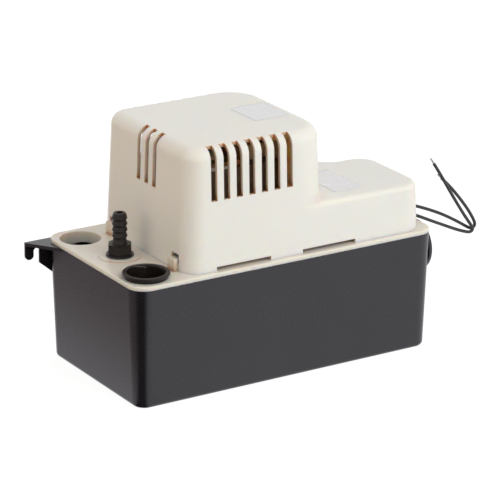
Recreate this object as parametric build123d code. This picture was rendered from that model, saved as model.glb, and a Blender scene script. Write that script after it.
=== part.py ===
from build123d import *
from math import asin, atan2, cos, degrees, hypot, pi, radians, sin, tan
import os

# Condensate pump: sump tank, vented motor cover, vertical shaded-pole motor, centrifugal
# pump on a column, float switch, overflow switch and barbed discharge with a check valve.
# Millimetres. +Z up, +X along the length, the long front face looks to -Y.
# The origin is the middle of the footprint on the surface that the tank stands on.

# ---- fits shared by several pieces
PRESS_GAP = 0.02       # radial gap of a pressed or pushed-on fit
RUN_GAP = 0.06         # radial gap of a shaft or pin that turns in a bore
LOOSE_GAP = 0.25       # gap of a moulding that drops into another

# ---- sump tank, a deep moulded tub with a wall hook at each end
TANK_LENGTH = 237.5
TANK_WIDTH = 127.0
TANK_HEIGHT = 84.1
TANK_CORNER = 12.0
TANK_WALL = 2.5
TANK_DRAFT = 1.9
TANK_FOOT_RADIUS = 3.2
HOOK_REACH = 15.65     # the hook's tip beyond the end of the tank
HOOK_THICK = 1.6
HOOK_FINGER = 6.3
HOOK_FINGER_DROP = 12.9
HOOK_NOTCH = 4.6
HOOK_NOTCH_RISE = 5.0  # from the top of the shelf to the crown of the notch
HOOK_LEG_DROP = 16.3
HOOK_FOOT_DROP = 24.7
HOOK_SHELF_DEPTH = 24.0
HOOK_SHELF_THICK = 2.4
BOSS_RADIUS = 17.6     # round moulded boss on the right end wall
BOSS_REACH = 5.8
BOSS_RIM = 2.2
BOSS_STEP = 1.8
BOSS_Y = -34.0

# ---- deck, the lid that carries everything
DECK_THICK = 2.8
DECK_EDGE = 1.0
SKIRT_DEPTH = 6.0
SKIRT_WALL = 2.0
INLET_RADIUS = 14.3
INLET_COLLAR_WALL = 1.5
INLET_COLLAR_DEPTH = 8.0
INLET_END_INSET = 17.75         # from the tank's end to the middle of a left inlet
INLET_SIDE_INSET = 18.8         # from the tank's side to the middle of a left inlet
REAR_INLET_END_INSET = 21.75
REAR_INLET_SIDE_INSET = 25.5
PAD_RADIUS = 14.5
PAD_RISE = 0.4

# ---- motor cover, a tall vented box with a low L-shaped box beside it
COVER_WALL = 2.5
COVER_DRAFT = 2.0
COVER_LEFT_INSET = 41.35        # from the tank's left end to the cover's left wall
COVER_RIGHT_INSET = 6.15
COVER_SIDE_INSET = 3.7
TALL_RIGHT = 38.6
TALL_HEIGHT = 84.6     # above the deck
TALL_CORNER = 13.5     # upright corners at the left end
TALL_FAR_CORNER = 26.5
TALL_EDGE = 8.6
LOW_HEIGHT = 33.0
LOW_STEP_FROM_X = 21.3 # from the rear inlet's middle to the walls beside it
LOW_STEP_FROM_Y = 23.6
LOW_CORNER = 7.0
LOW_FAR_CORNER = 16.0
LOW_STEP_RADIUS = 14.0
LOW_EDGE = 3.6
JUNCTION_RADIUS = 5.0
VENT_WIDTH = 4.7
VENT_PITCH = 9.8
VENT_COUNT = 7
VENT_FIRST_X = -56.6
VENT_SILL = 48.4       # above the deck
VENT_WRAP = 7.2        # how far a vent runs over the top edge
END_VENT_PITCH = 10.2
END_VENT_COUNT = 3
END_VENT_FIRST_Y = -11.4
SLIT_HEIGHT = 2.9      # air slits along the foot of the cover
SLIT_LENGTH = 42.5
SLIT_XS = (-34.4, 33.3)
LATCH_Y = 41.5
LATCH_WIDTH = 9.0
LATCH_RISE = 8.3
LATCH_THICK = 2.6
LATCH_WINDOW = 11.3
LATCH_SILL = 5.5

# ---- motor: C-frame stator, squirrel-cage rotor, two bridge brackets
MOTOR_INSET = 41.4     # from the cover's left wall to the shaft
SHAFT_RADIUS = 3.175
STACK_DROP = 48.5      # from the cover's roof to the stack's underside
STACK_HEIGHT = 22.0
STACK_HALF_WIDTH = 30.0
STACK_BACK = 27.0      # from the shaft to the closed end of the frame
LEG_NEAR = 36.0        # from the shaft to the leg that the coil sits on
LEG_WIDTH = 12.0
WINDOW_NEAR = 23.0
WINDOW_HALF = 19.5
ROTOR_RADIUS = 18.0
AIR_GAP = 0.4
RING_WIRE = 2.4
RING_NEAR = 10.2
RING_FAR = 19.0
RING_Y = 22.8
BOBBIN_WALL = 1.2
BOBBIN_FLANGE = 1.5
BOBBIN_HALF = 18.5
COIL_BUILD = 8.2
BOLT_Y = 24.8
BOLT_RADIUS = 2.0
BOLT_HEAD_RADIUS = 3.8
BOLT_HEAD_HEIGHT = 2.6
BOLT_GRIP = 12.0       # thread in the post
POST_RADIUS = 4.2
BRIDGE_THICK = 2.5
BRIDGE_WIDTH = 16.0
BRIDGE_RISE = 7.0
BRIDGE_FOOT = 6.5      # half length of a foot
BEARING_RADIUS = 5.2
BEARING_LENGTH = 9.0
HUB_WALL = 2.6
END_RING_HEIGHT = 2.0
FAN_RADIUS = 24.0
FAN_HEIGHT = 6.5
FAN_HUB = 6.5
FAN_BLADES = 7
FAN_GAP = 1.6
SLINGER_RADIUS = 9.0
SLINGER_THICK = 3.0

# ---- pump: column, volute, impeller, intake plate
COLUMN_RADIUS = 10.0
COLUMN_WALL = 2.6
COLUMN_FLANGE = 19.0
COLUMN_FLANGE_THICK = 3.0
COLUMN_SCREW_Y = 14.5
INTAKE_LIFT = 6.5      # from the floor to the intake plate
INTAKE_PLATE = 2.6
INTAKE_RADIUS = 7.0
INTAKE_SCREW_DEPTH = 7.0
CHAMBER_HEIGHT = 13.0
VOLUTE_START = 24.0
VOLUTE_GROWTH = 5.5
VOLUTE_WALL = 2.4
OUTLET_OFFSET = 20.0
IMPELLER_RADIUS = 20.5
IMPELLER_DISC = 2.2
IMPELLER_HUB = 5.4
IMPELLER_VANES = 6
VANE_THICK = 1.5
VANE_HEIGHT = 7.0
IMPELLER_GAP = 1.0

# ---- discharge line and check valve
DISCHARGE_INSET = 23.25         # from the tank's left end to the riser
SPIGOT_RADIUS = 5.0
SPIGOT_BORE = 3.4
SPIGOT_LENGTH = 7.2
HOSE_WALL = 1.8
HOSE_BEND = 15.0
CLAMP_WIDTH = 5.0
CLAMP_THICK = 1.0
VALVE_THREAD_RADIUS = 7.2
VALVE_THREAD_LENGTH = 14.0
VALVE_CHAMBER_RADIUS = 4.4
SEAT_HEIGHT = 8.0
SEAT_BORE = 2.4
BALL_RADIUS = 3.5
BALL_TRAVEL = 3.0
FLANGE_RADIUS = 9.5
FLANGE_THICK = 1.5
HEX_ACROSS = 15.3
HEX_HEIGHT = 7.3
BARB_STEM_RADIUS = 4.45
BARB_RADIUS = 5.3
BARB_PITCH = 4.2
BARB_COUNT = 4
BARB_LEAD = 4.6        # plain stem between the hex and the first barb
BARB_BORE = 2.2
BARB_TIP_RADIUS = 4.0
NUT_ACROSS = 19.0
NUT_THICK = 5.0
GASKET_THICK = 1.0
SPRING_RADIUS = 2.5
SPRING_WIRE = 0.35
SPRING_TURNS = 4.5

# ---- inlet plugs
PLUG_GAP = 0.1
PLUG_SKIN = 1.4
PLUG_DEPTH = 9.0       # below the deck's top
PLUG_NECK_RADIUS = 14.6
PLUG_NECK_FLARE = 0.6
PLUG_NECK_HEIGHT = 2.4
PLUG_RIM_RADIUS = 16.0
PLUG_RIM_HEIGHT = 1.4
PLUG_GRIP_THICK = 1.6
PLUG_GRIP_RISE = 3.0
PLUG_GRIP_ANGLE = 141.0

# ---- float, its arm and the rod that lifts the switch levers
ROD_X = 38.0
ROD_Y = -30.0
ROD_RADIUS = 2.0
ROD_TRAVEL = 3.0
CROSSBAR_RADIUS = 1.5
CROSSBAR_LENGTH = 17.0
ARM_PAD_REACH = 8.6
ARM_PAD_RADIUS = 2.5
ARM_THICK = 4.0
ARM_BOSS_RADIUS = 4.2
ARM_BAR_RADIUS = 2.4
PIVOT_DROP = 10.1      # below the deck's underside
PIN_RADIUS = 1.5
EAR_THICK = 2.4
EAR_RADIUS = 4.5
BRACKET_BASE = 2.4
BRACKET_BACK = 11.0    # from the pin to the base's edge
BRACKET_HALF = 15.0
BRACKET_SCREW_X = 6.0  # behind the pin
BRACKET_SCREW_Y = 11.0
FLOAT_REACH = 48.0     # from the pivot to the middle of the float
FLOAT_DROP = 40.0
FLOAT_LENGTH = 44.0
FLOAT_WIDTH = 48.0
FLOAT_HEIGHT = 26.0
FLOAT_RADIUS = 6.0
FLOAT_Y = -26.0
SMALL_SCREW_RADIUS = 1.45
SMALL_HEAD_RADIUS = 2.8
SMALL_HEAD_HEIGHT = 1.8

# ---- snap switches, side by side on one bracket
SWITCH_LENGTH = 27.8
SWITCH_HEIGHT = 15.9
SWITCH_THICK = 10.2
SWITCH_PITCH = 12.4
SWITCH_BASE = 12.4     # above the deck
LEVER_REACH = 26.0     # from the lever's pivot to the rod
LEVER_THICK = 0.6
LEVER_WIDTH = 5.0
LEVER_ROLL = 0.9
LEVER_TAIL = 3.0
PLUNGER_REACH = 5.0
PLUNGER_RADIUS = 1.3
SWITCH_SCREW_RADIUS = 1.4
BLADE_WIDTH = 4.8
BLADE_THICK = 0.8
BLADE_LENGTH = 7.5
BLADE_PITCH = 5.4
TERMINAL_SHEET = 0.6   # wall of a push-on terminal
TERMINAL_CRIMP = 5.0
STAND_SHEET = 0.8
STAND_OUT = 16.0       # from the rod to the stand's upright
STAND_FOOT = 10.0      # depth of its foot on the deck
STAND_SCREW_INSET = 4.0

# ---- leads and their grommet, and the gland for the supply cord
LEAD_RADIUS = 1.15
STRAND_RADIUS = 0.6
GROMMET_RADIUS = 5.6
GROMMET_FLANGE = 1.5
GROMMET_LIP = 1.4
GLAND_BORE = 3.7
GLAND_RADIUS = 6.4
GLAND_FLANGE_RADIUS = 8.6
GLAND_LENGTH = 9.0
GLAND_FLANGE = 2.4
GLAND_INSET = 21.6     # from the low box's step to the gland
GLAND_RISE = 18.0
UPPER_LEAD_Y = -34.6
LOWER_LEAD_Y = -37.6
UPPER_BARE = 4.7       # stripped end of the upper lead
LOWER_BARE = 5.4
UPPER_LEAD_XZ = [
    (77.4, 107.1), (99.6, 102.3), (121.0, 94.5), (133.0, 89.6), (145.0, 83.9), (157.6, 76.5),
    (164.8, 71.8), (169.3, 69.1), (172.2, 69.5), (173.4, 72.1), (170.9, 77.1), (165.9, 84.9),
    (158.3, 94.6), (150.0, 104.2), (143.2, 110.8),
]
LOWER_LEAD_XZ = [
    (77.4, 101.7), (98.4, 97.7), (119.8, 88.7), (132.0, 82.6), (144.5, 76.7), (154.6, 71.9),
    (160.4, 69.6), (165.2, 67.9), (168.0, 67.9), (169.4, 69.8), (167.9, 72.4), (164.6, 76.9),
    (158.7, 85.3), (148.0, 101.9), (140.6, 114.1), (134.1, 123.8),
]

# ---- heights and places worked out from the sizes above
TANK_END = TANK_LENGTH / 2
TANK_SIDE = TANK_WIDTH / 2
INLET_X = TANK_END - INLET_END_INSET
INLET_Y = TANK_SIDE - INLET_SIDE_INSET
REAR_INLET_X = TANK_END - REAR_INLET_END_INSET
REAR_INLET_Y = TANK_SIDE - REAR_INLET_SIDE_INSET
DISCHARGE_X = DISCHARGE_INSET - TANK_END
COVER_LEFT = COVER_LEFT_INSET - TANK_END
COVER_HALF_WIDTH = TANK_SIDE - COVER_SIDE_INSET
MOTOR_X = COVER_LEFT + MOTOR_INSET
LOW_RIGHT = TANK_END - COVER_RIGHT_INSET
LOW_STEP_X = REAR_INLET_X - LOW_STEP_FROM_X
LOW_STEP_Y = REAR_INLET_Y - LOW_STEP_FROM_Y
GLAND_Y = LOW_STEP_Y + GLAND_INSET
STACK_BASE = TALL_HEIGHT - STACK_DROP
DECK_TOP = TANK_HEIGHT + DECK_THICK
STACK_Z = DECK_TOP + STACK_BASE
STACK_TOP = STACK_Z + STACK_HEIGHT
STACK_MID = STACK_Z + STACK_HEIGHT / 2
LEG_X = MOTOR_X + LEG_NEAR + LEG_WIDTH / 2
BRIDGE_TOP = STACK_TOP + BRIDGE_THICK + BRIDGE_RISE
HUB_TOP = BRIDGE_TOP + 2.0
LOWER_BRIDGE = STACK_Z - BRIDGE_THICK - BRIDGE_RISE
FAN_Z = HUB_TOP + FAN_GAP
SHAFT_TOP = FAN_Z + FAN_HEIGHT + 1.0
CHAMBER_Z = INTAKE_LIFT + INTAKE_PLATE
CHAMBER_TOP = CHAMBER_Z + CHAMBER_HEIGHT
VOLUTE_TOP = CHAMBER_TOP + VOLUTE_WALL
IMPELLER_TOP = CHAMBER_TOP - IMPELLER_GAP
SHAFT_BOTTOM = IMPELLER_TOP - IMPELLER_DISC - VANE_HEIGHT + 1.0
OUTLET_Z = CHAMBER_Z + SPIGOT_RADIUS + 2.2
OUTLET_TURN = degrees(asin(OUTLET_OFFSET / (MOTOR_X - DISCHARGE_X)))
PIVOT_X = ROD_X - ARM_PAD_REACH
PIVOT_Z = TANK_HEIGHT - PIVOT_DROP
FLOAT_X = PIVOT_X + FLOAT_REACH
FLOAT_Z = PIVOT_Z - FLOAT_DROP
ARM_SWING = ROD_TRAVEL / ARM_PAD_REACH
LEVER_SWING = ROD_TRAVEL / LEVER_REACH
SWITCH_Z = DECK_TOP + SWITCH_BASE
SWITCH_YS = (ROD_Y - SWITCH_PITCH / 2, ROD_Y + SWITCH_PITCH / 2)
LEVER_X = ROD_X + LEVER_REACH
LEVER_Z = SWITCH_Z - LEVER_ROLL
SWITCH_RIGHT = LEVER_X + 4.4
SWITCH_LEFT = SWITCH_RIGHT - SWITCH_LENGTH
SWITCH_TOP = SWITCH_Z + SWITCH_HEIGHT
THREAD_BOTTOM = DECK_TOP + PAD_RISE - VALVE_THREAD_LENGTH
SEAT_Z = THREAD_BOTTOM - 1.0
HEX_TOP = DECK_TOP + PAD_RISE + FLANGE_THICK + HEX_HEIGHT
BARB_TOP = HEX_TOP + BARB_LEAD + BARB_COUNT * BARB_PITCH
CHAMBER_ROOF = HEX_TOP - 2.5
BALL_Z = SEAT_Z + SEAT_HEIGHT + (BALL_RADIUS ** 2 - SEAT_BORE ** 2) ** 0.5
HOSE_BORE = SPIGOT_RADIUS + PRESS_GAP
HOSE_RADIUS = HOSE_BORE + HOSE_WALL


def drafted(length, width, corner, height, draft, top):
    """A rounded rectangle of the given size at its top, narrowing downwards by the draft."""
    face = Plane.XY.offset(top) * RectangleRounded(length, width, corner)
    return extrude(face, amount=height, dir=(0, 0, -1), taper=draft)


def cylinder(x, y, z, radius, height):
    """An upright cylinder standing on height z."""
    foot = (Align.CENTER, Align.CENTER, Align.MIN)
    return Pos(x, y, z) * Cylinder(radius, height, align=foot)


def tube(x, y, z, outer, inner, height):
    return cylinder(x, y, z, outer, height) - cylinder(x, y, z, inner, height)


def block(x, y, z):
    """A box from three (low, high) pairs."""
    middle = Pos((x[0] + x[1]) / 2, (y[0] + y[1]) / 2, (z[0] + z[1]) / 2)
    return middle * Box(x[1] - x[0], y[1] - y[0], z[1] - z[0])


def across(x, z, y, radius):
    """A cylinder along Y between the two values of y."""
    middle = Pos(x, (y[0] + y[1]) / 2, z) * Rot(90, 0, 0)
    return middle * Cylinder(radius, y[1] - y[0])


def turned(profile, x, y):
    """The solid of revolution of (radius, height) points about an upright axis."""
    face = make_face(Plane.XZ * Polyline(*profile, close=True))
    return Pos(x, y, 0) * revolve(face, Axis.Z)


def hexagon(x, y, z, across_flats, height):
    face = RegularPolygon(across_flats / 2, 6, major_radius=False)
    return Pos(x, y, z) * extrude(face, amount=height)


def edges_at(shape, z):
    """The edges that lie wholly in the plane at height z."""
    return [e for e in shape.edges() if abs(e.bounding_box().min.Z - z) < 1e-3
            and abs(e.bounding_box().max.Z - z) < 1e-3]


# ---------------------------------------------------------------- tank

def tank_outside():
    tub = drafted(TANK_LENGTH, TANK_WIDTH, TANK_CORNER, TANK_HEIGHT, TANK_DRAFT, TANK_HEIGHT)
    return fillet(edges_at(tub, 0), TANK_FOOT_RADIUS)


def tank_cavity(inset, depth):
    """The tank's inner form, drawn in by inset from the outer one."""
    length = TANK_LENGTH - 2 * inset
    width = TANK_WIDTH - 2 * inset
    return drafted(length, width, TANK_CORNER - inset, depth, TANK_DRAFT, TANK_HEIGHT)


def wall_hook():
    """The right-hand hook: an upright plate with an open notch, under a three-cornered shelf."""
    end = TANK_END
    tip = end + HOOK_REACH
    back = TANK_SIDE
    finger = tip - HOOK_FINGER
    leg = finger - HOOK_NOTCH
    root = end - 2 * TANK_CORNER
    top = TANK_HEIGHT
    outline = Polyline(
        (tip, top), (tip, top - HOOK_FINGER_DROP), (finger, top - HOOK_FINGER_DROP),
        (finger, top - HOOK_NOTCH_RISE), (leg, top - HOOK_NOTCH_RISE), (leg, top - HOOK_LEG_DROP),
        (end - 2 * TANK_WALL, top - HOOK_FOOT_DROP), (root, top - HOOK_FOOT_DROP), (root, top),
        close=True)
    face = Plane.XZ.offset(-back) * make_face(outline)
    plate = extrude(face, amount=HOOK_THICK)
    uprights = plate.edges().filter_by(Axis.Y)
    rounded = [e for e in uprights if finger - 0.1 < e.center().X < tip + 0.1
               and abs(e.center().Z - (top - HOOK_FINGER_DROP)) < 0.1]
    plate = fillet(rounded, HOOK_FINGER / 2 - 0.1)
    crown = [e for e in plate.edges().filter_by(Axis.Y)
             if abs(e.center().Z - (top - HOOK_NOTCH_RISE)) < 0.1]
    plate = fillet(crown, HOOK_NOTCH / 2 - 0.1)
    shelf = Polyline(
        (tip, back), (tip, back - HOOK_THICK), (end, back - HOOK_SHELF_DEPTH),
        (root, back - HOOK_SHELF_DEPTH), (root, back), close=True)
    ledge = extrude(Plane.XY.offset(top) * make_face(shelf), amount=-HOOK_SHELF_THICK)
    return plate + ledge


def end_boss():
    """A round blind boss with a proud rim on the right end wall."""
    centre_z = TANK_HEIGHT - BOSS_RADIUS - 0.6
    axis = Pos(TANK_END, BOSS_Y, centre_z) * Rot(0, 90, 0)
    foot = (Align.CENTER, Align.CENTER, Align.MIN)
    neck = Pos(0, 0, -8) * Cylinder(BOSS_RADIUS - BOSS_STEP, 8 + BOSS_REACH, align=foot)
    rim = Pos(0, 0, BOSS_REACH - BOSS_RIM) * Cylinder(BOSS_RADIUS, BOSS_RIM, align=foot)
    dish = Pos(0, 0, BOSS_REACH - 1.2) * Cylinder(BOSS_RADIUS - 4, 2, align=foot)
    return axis * (neck + rim - dish)


def tank():
    hook = wall_hook()
    tub = tank_outside() + hook + mirror(hook, Plane.YZ) + end_boss()
    return tub - tank_cavity(TANK_WALL, TANK_HEIGHT - TANK_WALL)


# ---------------------------------------------------------------- deck

def inlet_places():
    return [(-INLET_X, INLET_Y), (-INLET_X, -INLET_Y), (REAR_INLET_X, REAR_INLET_Y)]


def catch(sign):
    """An upright catch beside the cover's left wall, with a nib that enters its window."""
    wall = COVER_LEFT
    y = (sign * LATCH_Y - LATCH_WIDTH / 2, sign * LATCH_Y + LATCH_WIDTH / 2)
    post = block((wall - 0.3 - LATCH_THICK, wall - 0.3), y, (DECK_TOP, DECK_TOP + LATCH_RISE))
    nib_y = (y[0] + 1, y[1] - 1)
    nib = block((wall - 1, wall + 1.6), nib_y, (DECK_TOP + LATCH_SILL + 0.5, DECK_TOP + LATCH_RISE))
    return post + nib


def tank_deck():
    plate = Plane.XY.offset(TANK_HEIGHT) * RectangleRounded(TANK_LENGTH, TANK_WIDTH, TANK_CORNER)
    deck = extrude(plate, amount=DECK_THICK)
    deck = fillet(edges_at(deck, DECK_TOP), DECK_EDGE)
    rim = tank_cavity(TANK_WALL + LOOSE_GAP, SKIRT_DEPTH)
    deck += rim - tank_cavity(TANK_WALL + LOOSE_GAP + SKIRT_WALL, SKIRT_DEPTH)
    room = tank_cavity(TANK_WALL + LOOSE_GAP, 2 * INLET_COLLAR_DEPTH)
    drop = DECK_TOP - INLET_COLLAR_DEPTH
    for x, y in inlet_places():
        collar = cylinder(x, y, drop, INLET_RADIUS + INLET_COLLAR_WALL, INLET_COLLAR_DEPTH - 1)
        deck += collar & room
    deck += cylinder(DISCHARGE_X, 0, DECK_TOP, PAD_RADIUS, PAD_RISE)
    for side in (-1, 1):
        deck += cylinder(MOTOR_X, side * BOLT_Y, DECK_TOP, POST_RADIUS, STACK_BASE - BRIDGE_THICK)
        deck += catch(side)
    for x, y in inlet_places():
        deck -= cylinder(x, y, drop - 1, INLET_RADIUS, INLET_COLLAR_DEPTH + 2)
    bore = VALVE_THREAD_RADIUS + LOOSE_GAP
    deck -= cylinder(DISCHARGE_X, 0, TANK_HEIGHT - 1, bore, DECK_THICK + PAD_RISE + 2)
    deck -= cylinder(MOTOR_X, 0, TANK_HEIGHT - 1, COLUMN_RADIUS - COLUMN_WALL, DECK_THICK + 2)
    deck -= cylinder(ROD_X, ROD_Y, TANK_HEIGHT - 1, ROD_RADIUS + LOOSE_GAP, DECK_THICK + 2)
    for side in (-1, 1):
        hole = STACK_Z - BRIDGE_THICK - BOLT_GRIP
        deck -= cylinder(MOTOR_X, side * BOLT_Y, hole, BOLT_RADIUS + PRESS_GAP, BOLT_GRIP + 1)
    for x, y in column_screw_places() + bracket_screw_places() + stand_screw_places():
        deck -= cylinder(x, y, TANK_HEIGHT - 1, SMALL_SCREW_RADIUS + PRESS_GAP, DECK_THICK + 2)
    return deck


# ---------------------------------------------------------------- cover

def drawn_box(x, y, z):
    """A box from three (low, high) pairs whose sides lean in towards the top by the draft."""
    middle = Pos((x[0] + x[1]) / 2, (y[0] + y[1]) / 2, z[0])
    face = middle * Rectangle(x[1] - x[0], y[1] - y[0])
    return extrude(face, amount=z[1] - z[0], taper=COVER_DRAFT)


def upright_edges(shape, x):
    """The straight steep edges whose middles lie within the (low, high) pair x."""
    return [e for e in shape.edges() if e.geom_type == GeomType.LINE
            and x[0] < e.center().X < x[1] and e.bounding_box().size.Z > LOW_HEIGHT / 2]


def tall_form(inset):
    """The tall box, drawn in on every side by inset; its right corners are the larger ones."""
    left = COVER_LEFT + inset
    right = TALL_RIGHT - inset
    half = COVER_HALF_WIDTH - inset
    top = DECK_TOP + TALL_HEIGHT - inset
    form = drawn_box((left, right), (-half, half), (DECK_TOP, top))
    form = fillet(upright_edges(form, (left, left + 5)), TALL_CORNER - inset)
    form = fillet(upright_edges(form, (right - 5, right)), TALL_FAR_CORNER - inset)
    return fillet(edges_at(form, top), TALL_EDGE - inset)


def low_form(inset):
    """The low box, full depth beside the tall one and narrower past the step."""
    near = TALL_RIGHT - TALL_FAR_CORNER - 2 * COVER_WALL
    far = LOW_RIGHT - inset
    half = COVER_HALF_WIDTH - inset
    step_x = LOW_STEP_X - inset
    step_y = LOW_STEP_Y - inset
    z = (DECK_TOP, DECK_TOP + LOW_HEIGHT - inset)
    form = drawn_box((near, step_x), (-half, half), z)
    form += drawn_box((near, far), (-half, step_y), z)
    inner = [e for e in upright_edges(form, (step_x - 2, step_x + 2)) if e.center().Y < half / 2]
    form = fillet(inner, LOW_STEP_RADIUS + inset)
    form = fillet(upright_edges(form, (far - 3, far)), LOW_FAR_CORNER - inset)
    form = fillet(upright_edges(form, (step_x - 2, step_x + 2)), LOW_CORNER - inset)
    return fillet(edges_at(form, z[1]), max(LOW_EDGE - inset, 0.8))


def vent_cutters():
    """Slots through the front and rear walls and the left wall, wrapped over the top edge."""
    sill = DECK_TOP + VENT_SILL
    top = DECK_TOP + TALL_HEIGHT + 1
    draw = TALL_HEIGHT * tan(radians(COVER_DRAFT))
    inside = COVER_HALF_WIDTH - draw - VENT_WRAP
    cutters = []
    for i in range(VENT_COUNT):
        x = VENT_FIRST_X + i * VENT_PITCH
        span = (x - VENT_WIDTH / 2, x + VENT_WIDTH / 2)
        cutters.append(block(span, (-COVER_HALF_WIDTH - 1, -inside), (sill, top)))
        cutters.append(block(span, (inside, COVER_HALF_WIDTH + 1), (sill, top)))
    for i in range(END_VENT_COUNT):
        y = END_VENT_FIRST_Y + i * END_VENT_PITCH
        span = (y - VENT_WIDTH / 2, y + VENT_WIDTH / 2)
        left = (COVER_LEFT - 1, COVER_LEFT + draw + VENT_WRAP)
        cutters.append(block(left, span, (sill, top)))
    return cutters


def slit_cutters():
    """Low air slits at the foot of the front and rear walls."""
    cutters = []
    for x in SLIT_XS:
        for side in (-1, 1):
            wall = side * COVER_HALF_WIDTH
            y = (wall - COVER_WALL - 1, wall + COVER_WALL + 1)
            span = (x - SLIT_LENGTH / 2, x + SLIT_LENGTH / 2)
            cutters.append(block(span, y, (DECK_TOP - 1, DECK_TOP + SLIT_HEIGHT)))
    return cutters


def latch_windows():
    windows = []
    for side in (-1, 1):
        y = (side * LATCH_Y - LATCH_WIDTH / 2, side * LATCH_Y + LATCH_WIDTH / 2)
        x = (COVER_LEFT - 1, COVER_LEFT + COVER_WALL + 1)
        windows.append(block(x, y, (DECK_TOP + LATCH_SILL, DECK_TOP + LATCH_WINDOW)))
    return windows


def motor_cover():
    outside = tall_form(0) + low_form(0)
    junction = [e for e in edges_at(outside, DECK_TOP + LOW_HEIGHT)
                if e.center().X < TALL_RIGHT + 1]
    outside = fillet(junction, JUNCTION_RADIUS)
    cover = outside - (tall_form(COVER_WALL) + low_form(COVER_WALL))
    for cutter in vent_cutters() + slit_cutters() + latch_windows():
        cover -= cutter
    x, y, z = grommet_place()
    cover -= Pos(x, y, z) * Rot(0, 90, 0) * Cylinder(GROMMET_RADIUS + PRESS_GAP, 4 * COVER_WALL)
    x, y, z = gland_place()
    cover -= Pos(x, y, z) * Rot(0, 90, 0) * Cylinder(GLAND_RADIUS + PRESS_GAP, 4 * COVER_WALL)
    return cover


# ---------------------------------------------------------------- motor

def shading_holes():
    """Square holes and edge notches in the poles, as (x, y) places of the ring legs."""
    places = []
    for side in (-1, 1):
        for x in (MOTOR_X - side * RING_NEAR, MOTOR_X - side * RING_FAR):
            places.append((x, side * RING_Y))
    return places


def stator_core():
    """Laminated C-frame: a bored pole body, two arms and the leg that carries the coil."""
    left = MOTOR_X - STACK_BACK
    right = MOTOR_X + LEG_NEAR + LEG_WIDTH
    half = STACK_HALF_WIDTH
    core = block((left, right), (-half, half), (STACK_Z, STACK_TOP))
    core = fillet(core.edges().filter_by(Axis.Z), 3)
    window_x = (MOTOR_X + WINDOW_NEAR, MOTOR_X + LEG_NEAR)
    core -= block(window_x, (-WINDOW_HALF, WINDOW_HALF), (STACK_Z - 1, STACK_TOP + 1))
    core -= cylinder(MOTOR_X, 0, STACK_Z - 1, ROTOR_RADIUS + AIR_GAP, STACK_HEIGHT + 2)
    slot = ROTOR_RADIUS + AIR_GAP + 2.5
    core -= block((MOTOR_X - slot, MOTOR_X + slot), (-1.5, 1.5), (STACK_Z - 1, STACK_TOP + 1))
    reach = RING_WIRE / 2 + PRESS_GAP
    for x, y in shading_holes():
        core -= block((x - reach, x + reach), (y - reach, y + reach), (STACK_Z - 1, STACK_TOP + 1))
    for side in (-1, 1):
        bore = BOLT_RADIUS + LOOSE_GAP
        core -= cylinder(MOTOR_X, side * BOLT_Y, STACK_Z - 1, bore, STACK_HEIGHT + 2)
    return core


def shading_rings():
    """Two closed copper loops, each round one half of a pole."""
    rings = []
    half = RING_WIRE / 2
    low = STACK_Z - RING_WIRE - PRESS_GAP
    high = STACK_TOP + RING_WIRE + PRESS_GAP
    for side in (-1, 1):
        xs = sorted((MOTOR_X - side * RING_NEAR, MOTOR_X - side * RING_FAR))
        y = (side * RING_Y - half, side * RING_Y + half)
        loop = block((xs[0] - half, xs[1] + half), y, (low, high))
        hole = block((xs[0] + half, xs[1] - half), (y[0] - 1, y[1] + 1),
                     (low + RING_WIRE, high - RING_WIRE))
        rings.append(loop - hole)
    return Compound(rings)


def around_leg(grow):
    """The leg's section grown by a margin, as (x, z) ranges."""
    half = LEG_WIDTH / 2 + grow
    return (LEG_X - half, LEG_X + half), (STACK_Z - grow, STACK_TOP + grow)


def coil_bobbin():
    """A spool on the leg: a rectangular tube with a flange at each end."""
    x, z = around_leg(LOOSE_GAP + BOBBIN_WALL)
    spool = block(x, (-BOBBIN_HALF, BOBBIN_HALF), z)
    x, z = around_leg(LOOSE_GAP + BOBBIN_WALL + COIL_BUILD)
    for side in (-1, 1):
        inner = side * (BOBBIN_HALF - BOBBIN_FLANGE)
        y = sorted((inner, side * BOBBIN_HALF))
        flange = block(x, y, z)
        spool += fillet(flange.edges().filter_by(Axis.Y), 4)
    x, z = around_leg(LOOSE_GAP)
    return spool - block(x, (-BOBBIN_HALF - 1, BOBBIN_HALF + 1), z)


def stator_coil():
    """The winding between the spool's flanges, with soft corners."""
    half = BOBBIN_HALF - BOBBIN_FLANGE - PRESS_GAP
    x, z = around_leg(LOOSE_GAP + BOBBIN_WALL + COIL_BUILD - 0.8)
    winding = block(x, (-half, half), z)
    winding = fillet(winding.edges().filter_by(Axis.Y), 7)
    winding = fillet(winding.faces().sort_by(Axis.Y)[0].edges(), 1.5)
    winding = fillet(winding.faces().sort_by(Axis.Y)[-1].edges(), 1.5)
    x, z = around_leg(LOOSE_GAP + BOBBIN_WALL + PRESS_GAP)
    return winding - block(x, (-half - 1, half + 1), z)


def bridge(foot_z, rise):
    """A pressed bridge over the rotor: two feet, two legs and a crown, seen along X."""
    up = 1 if rise > 0 else -1
    thick = BRIDGE_THICK * up
    inner = BOLT_Y - BRIDGE_FOOT
    outer = BOLT_Y + BRIDGE_FOOT - 2
    crown = foot_z + thick + rise
    outline = Polyline(
        (-outer, foot_z), (-inner, foot_z), (-inner + 5, crown - thick), (inner - 5, crown - thick),
        (inner, foot_z), (outer, foot_z), (outer, foot_z + thick), (inner + 2, foot_z + thick),
        (inner - 3, crown), (-inner + 3, crown), (-inner - 2, foot_z + thick),
        (-outer, foot_z + thick), close=True)
    face = Plane.YZ * make_face(outline)
    return Pos(MOTOR_X, 0, 0) * extrude(face, amount=BRIDGE_WIDTH / 2, both=True)


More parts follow.
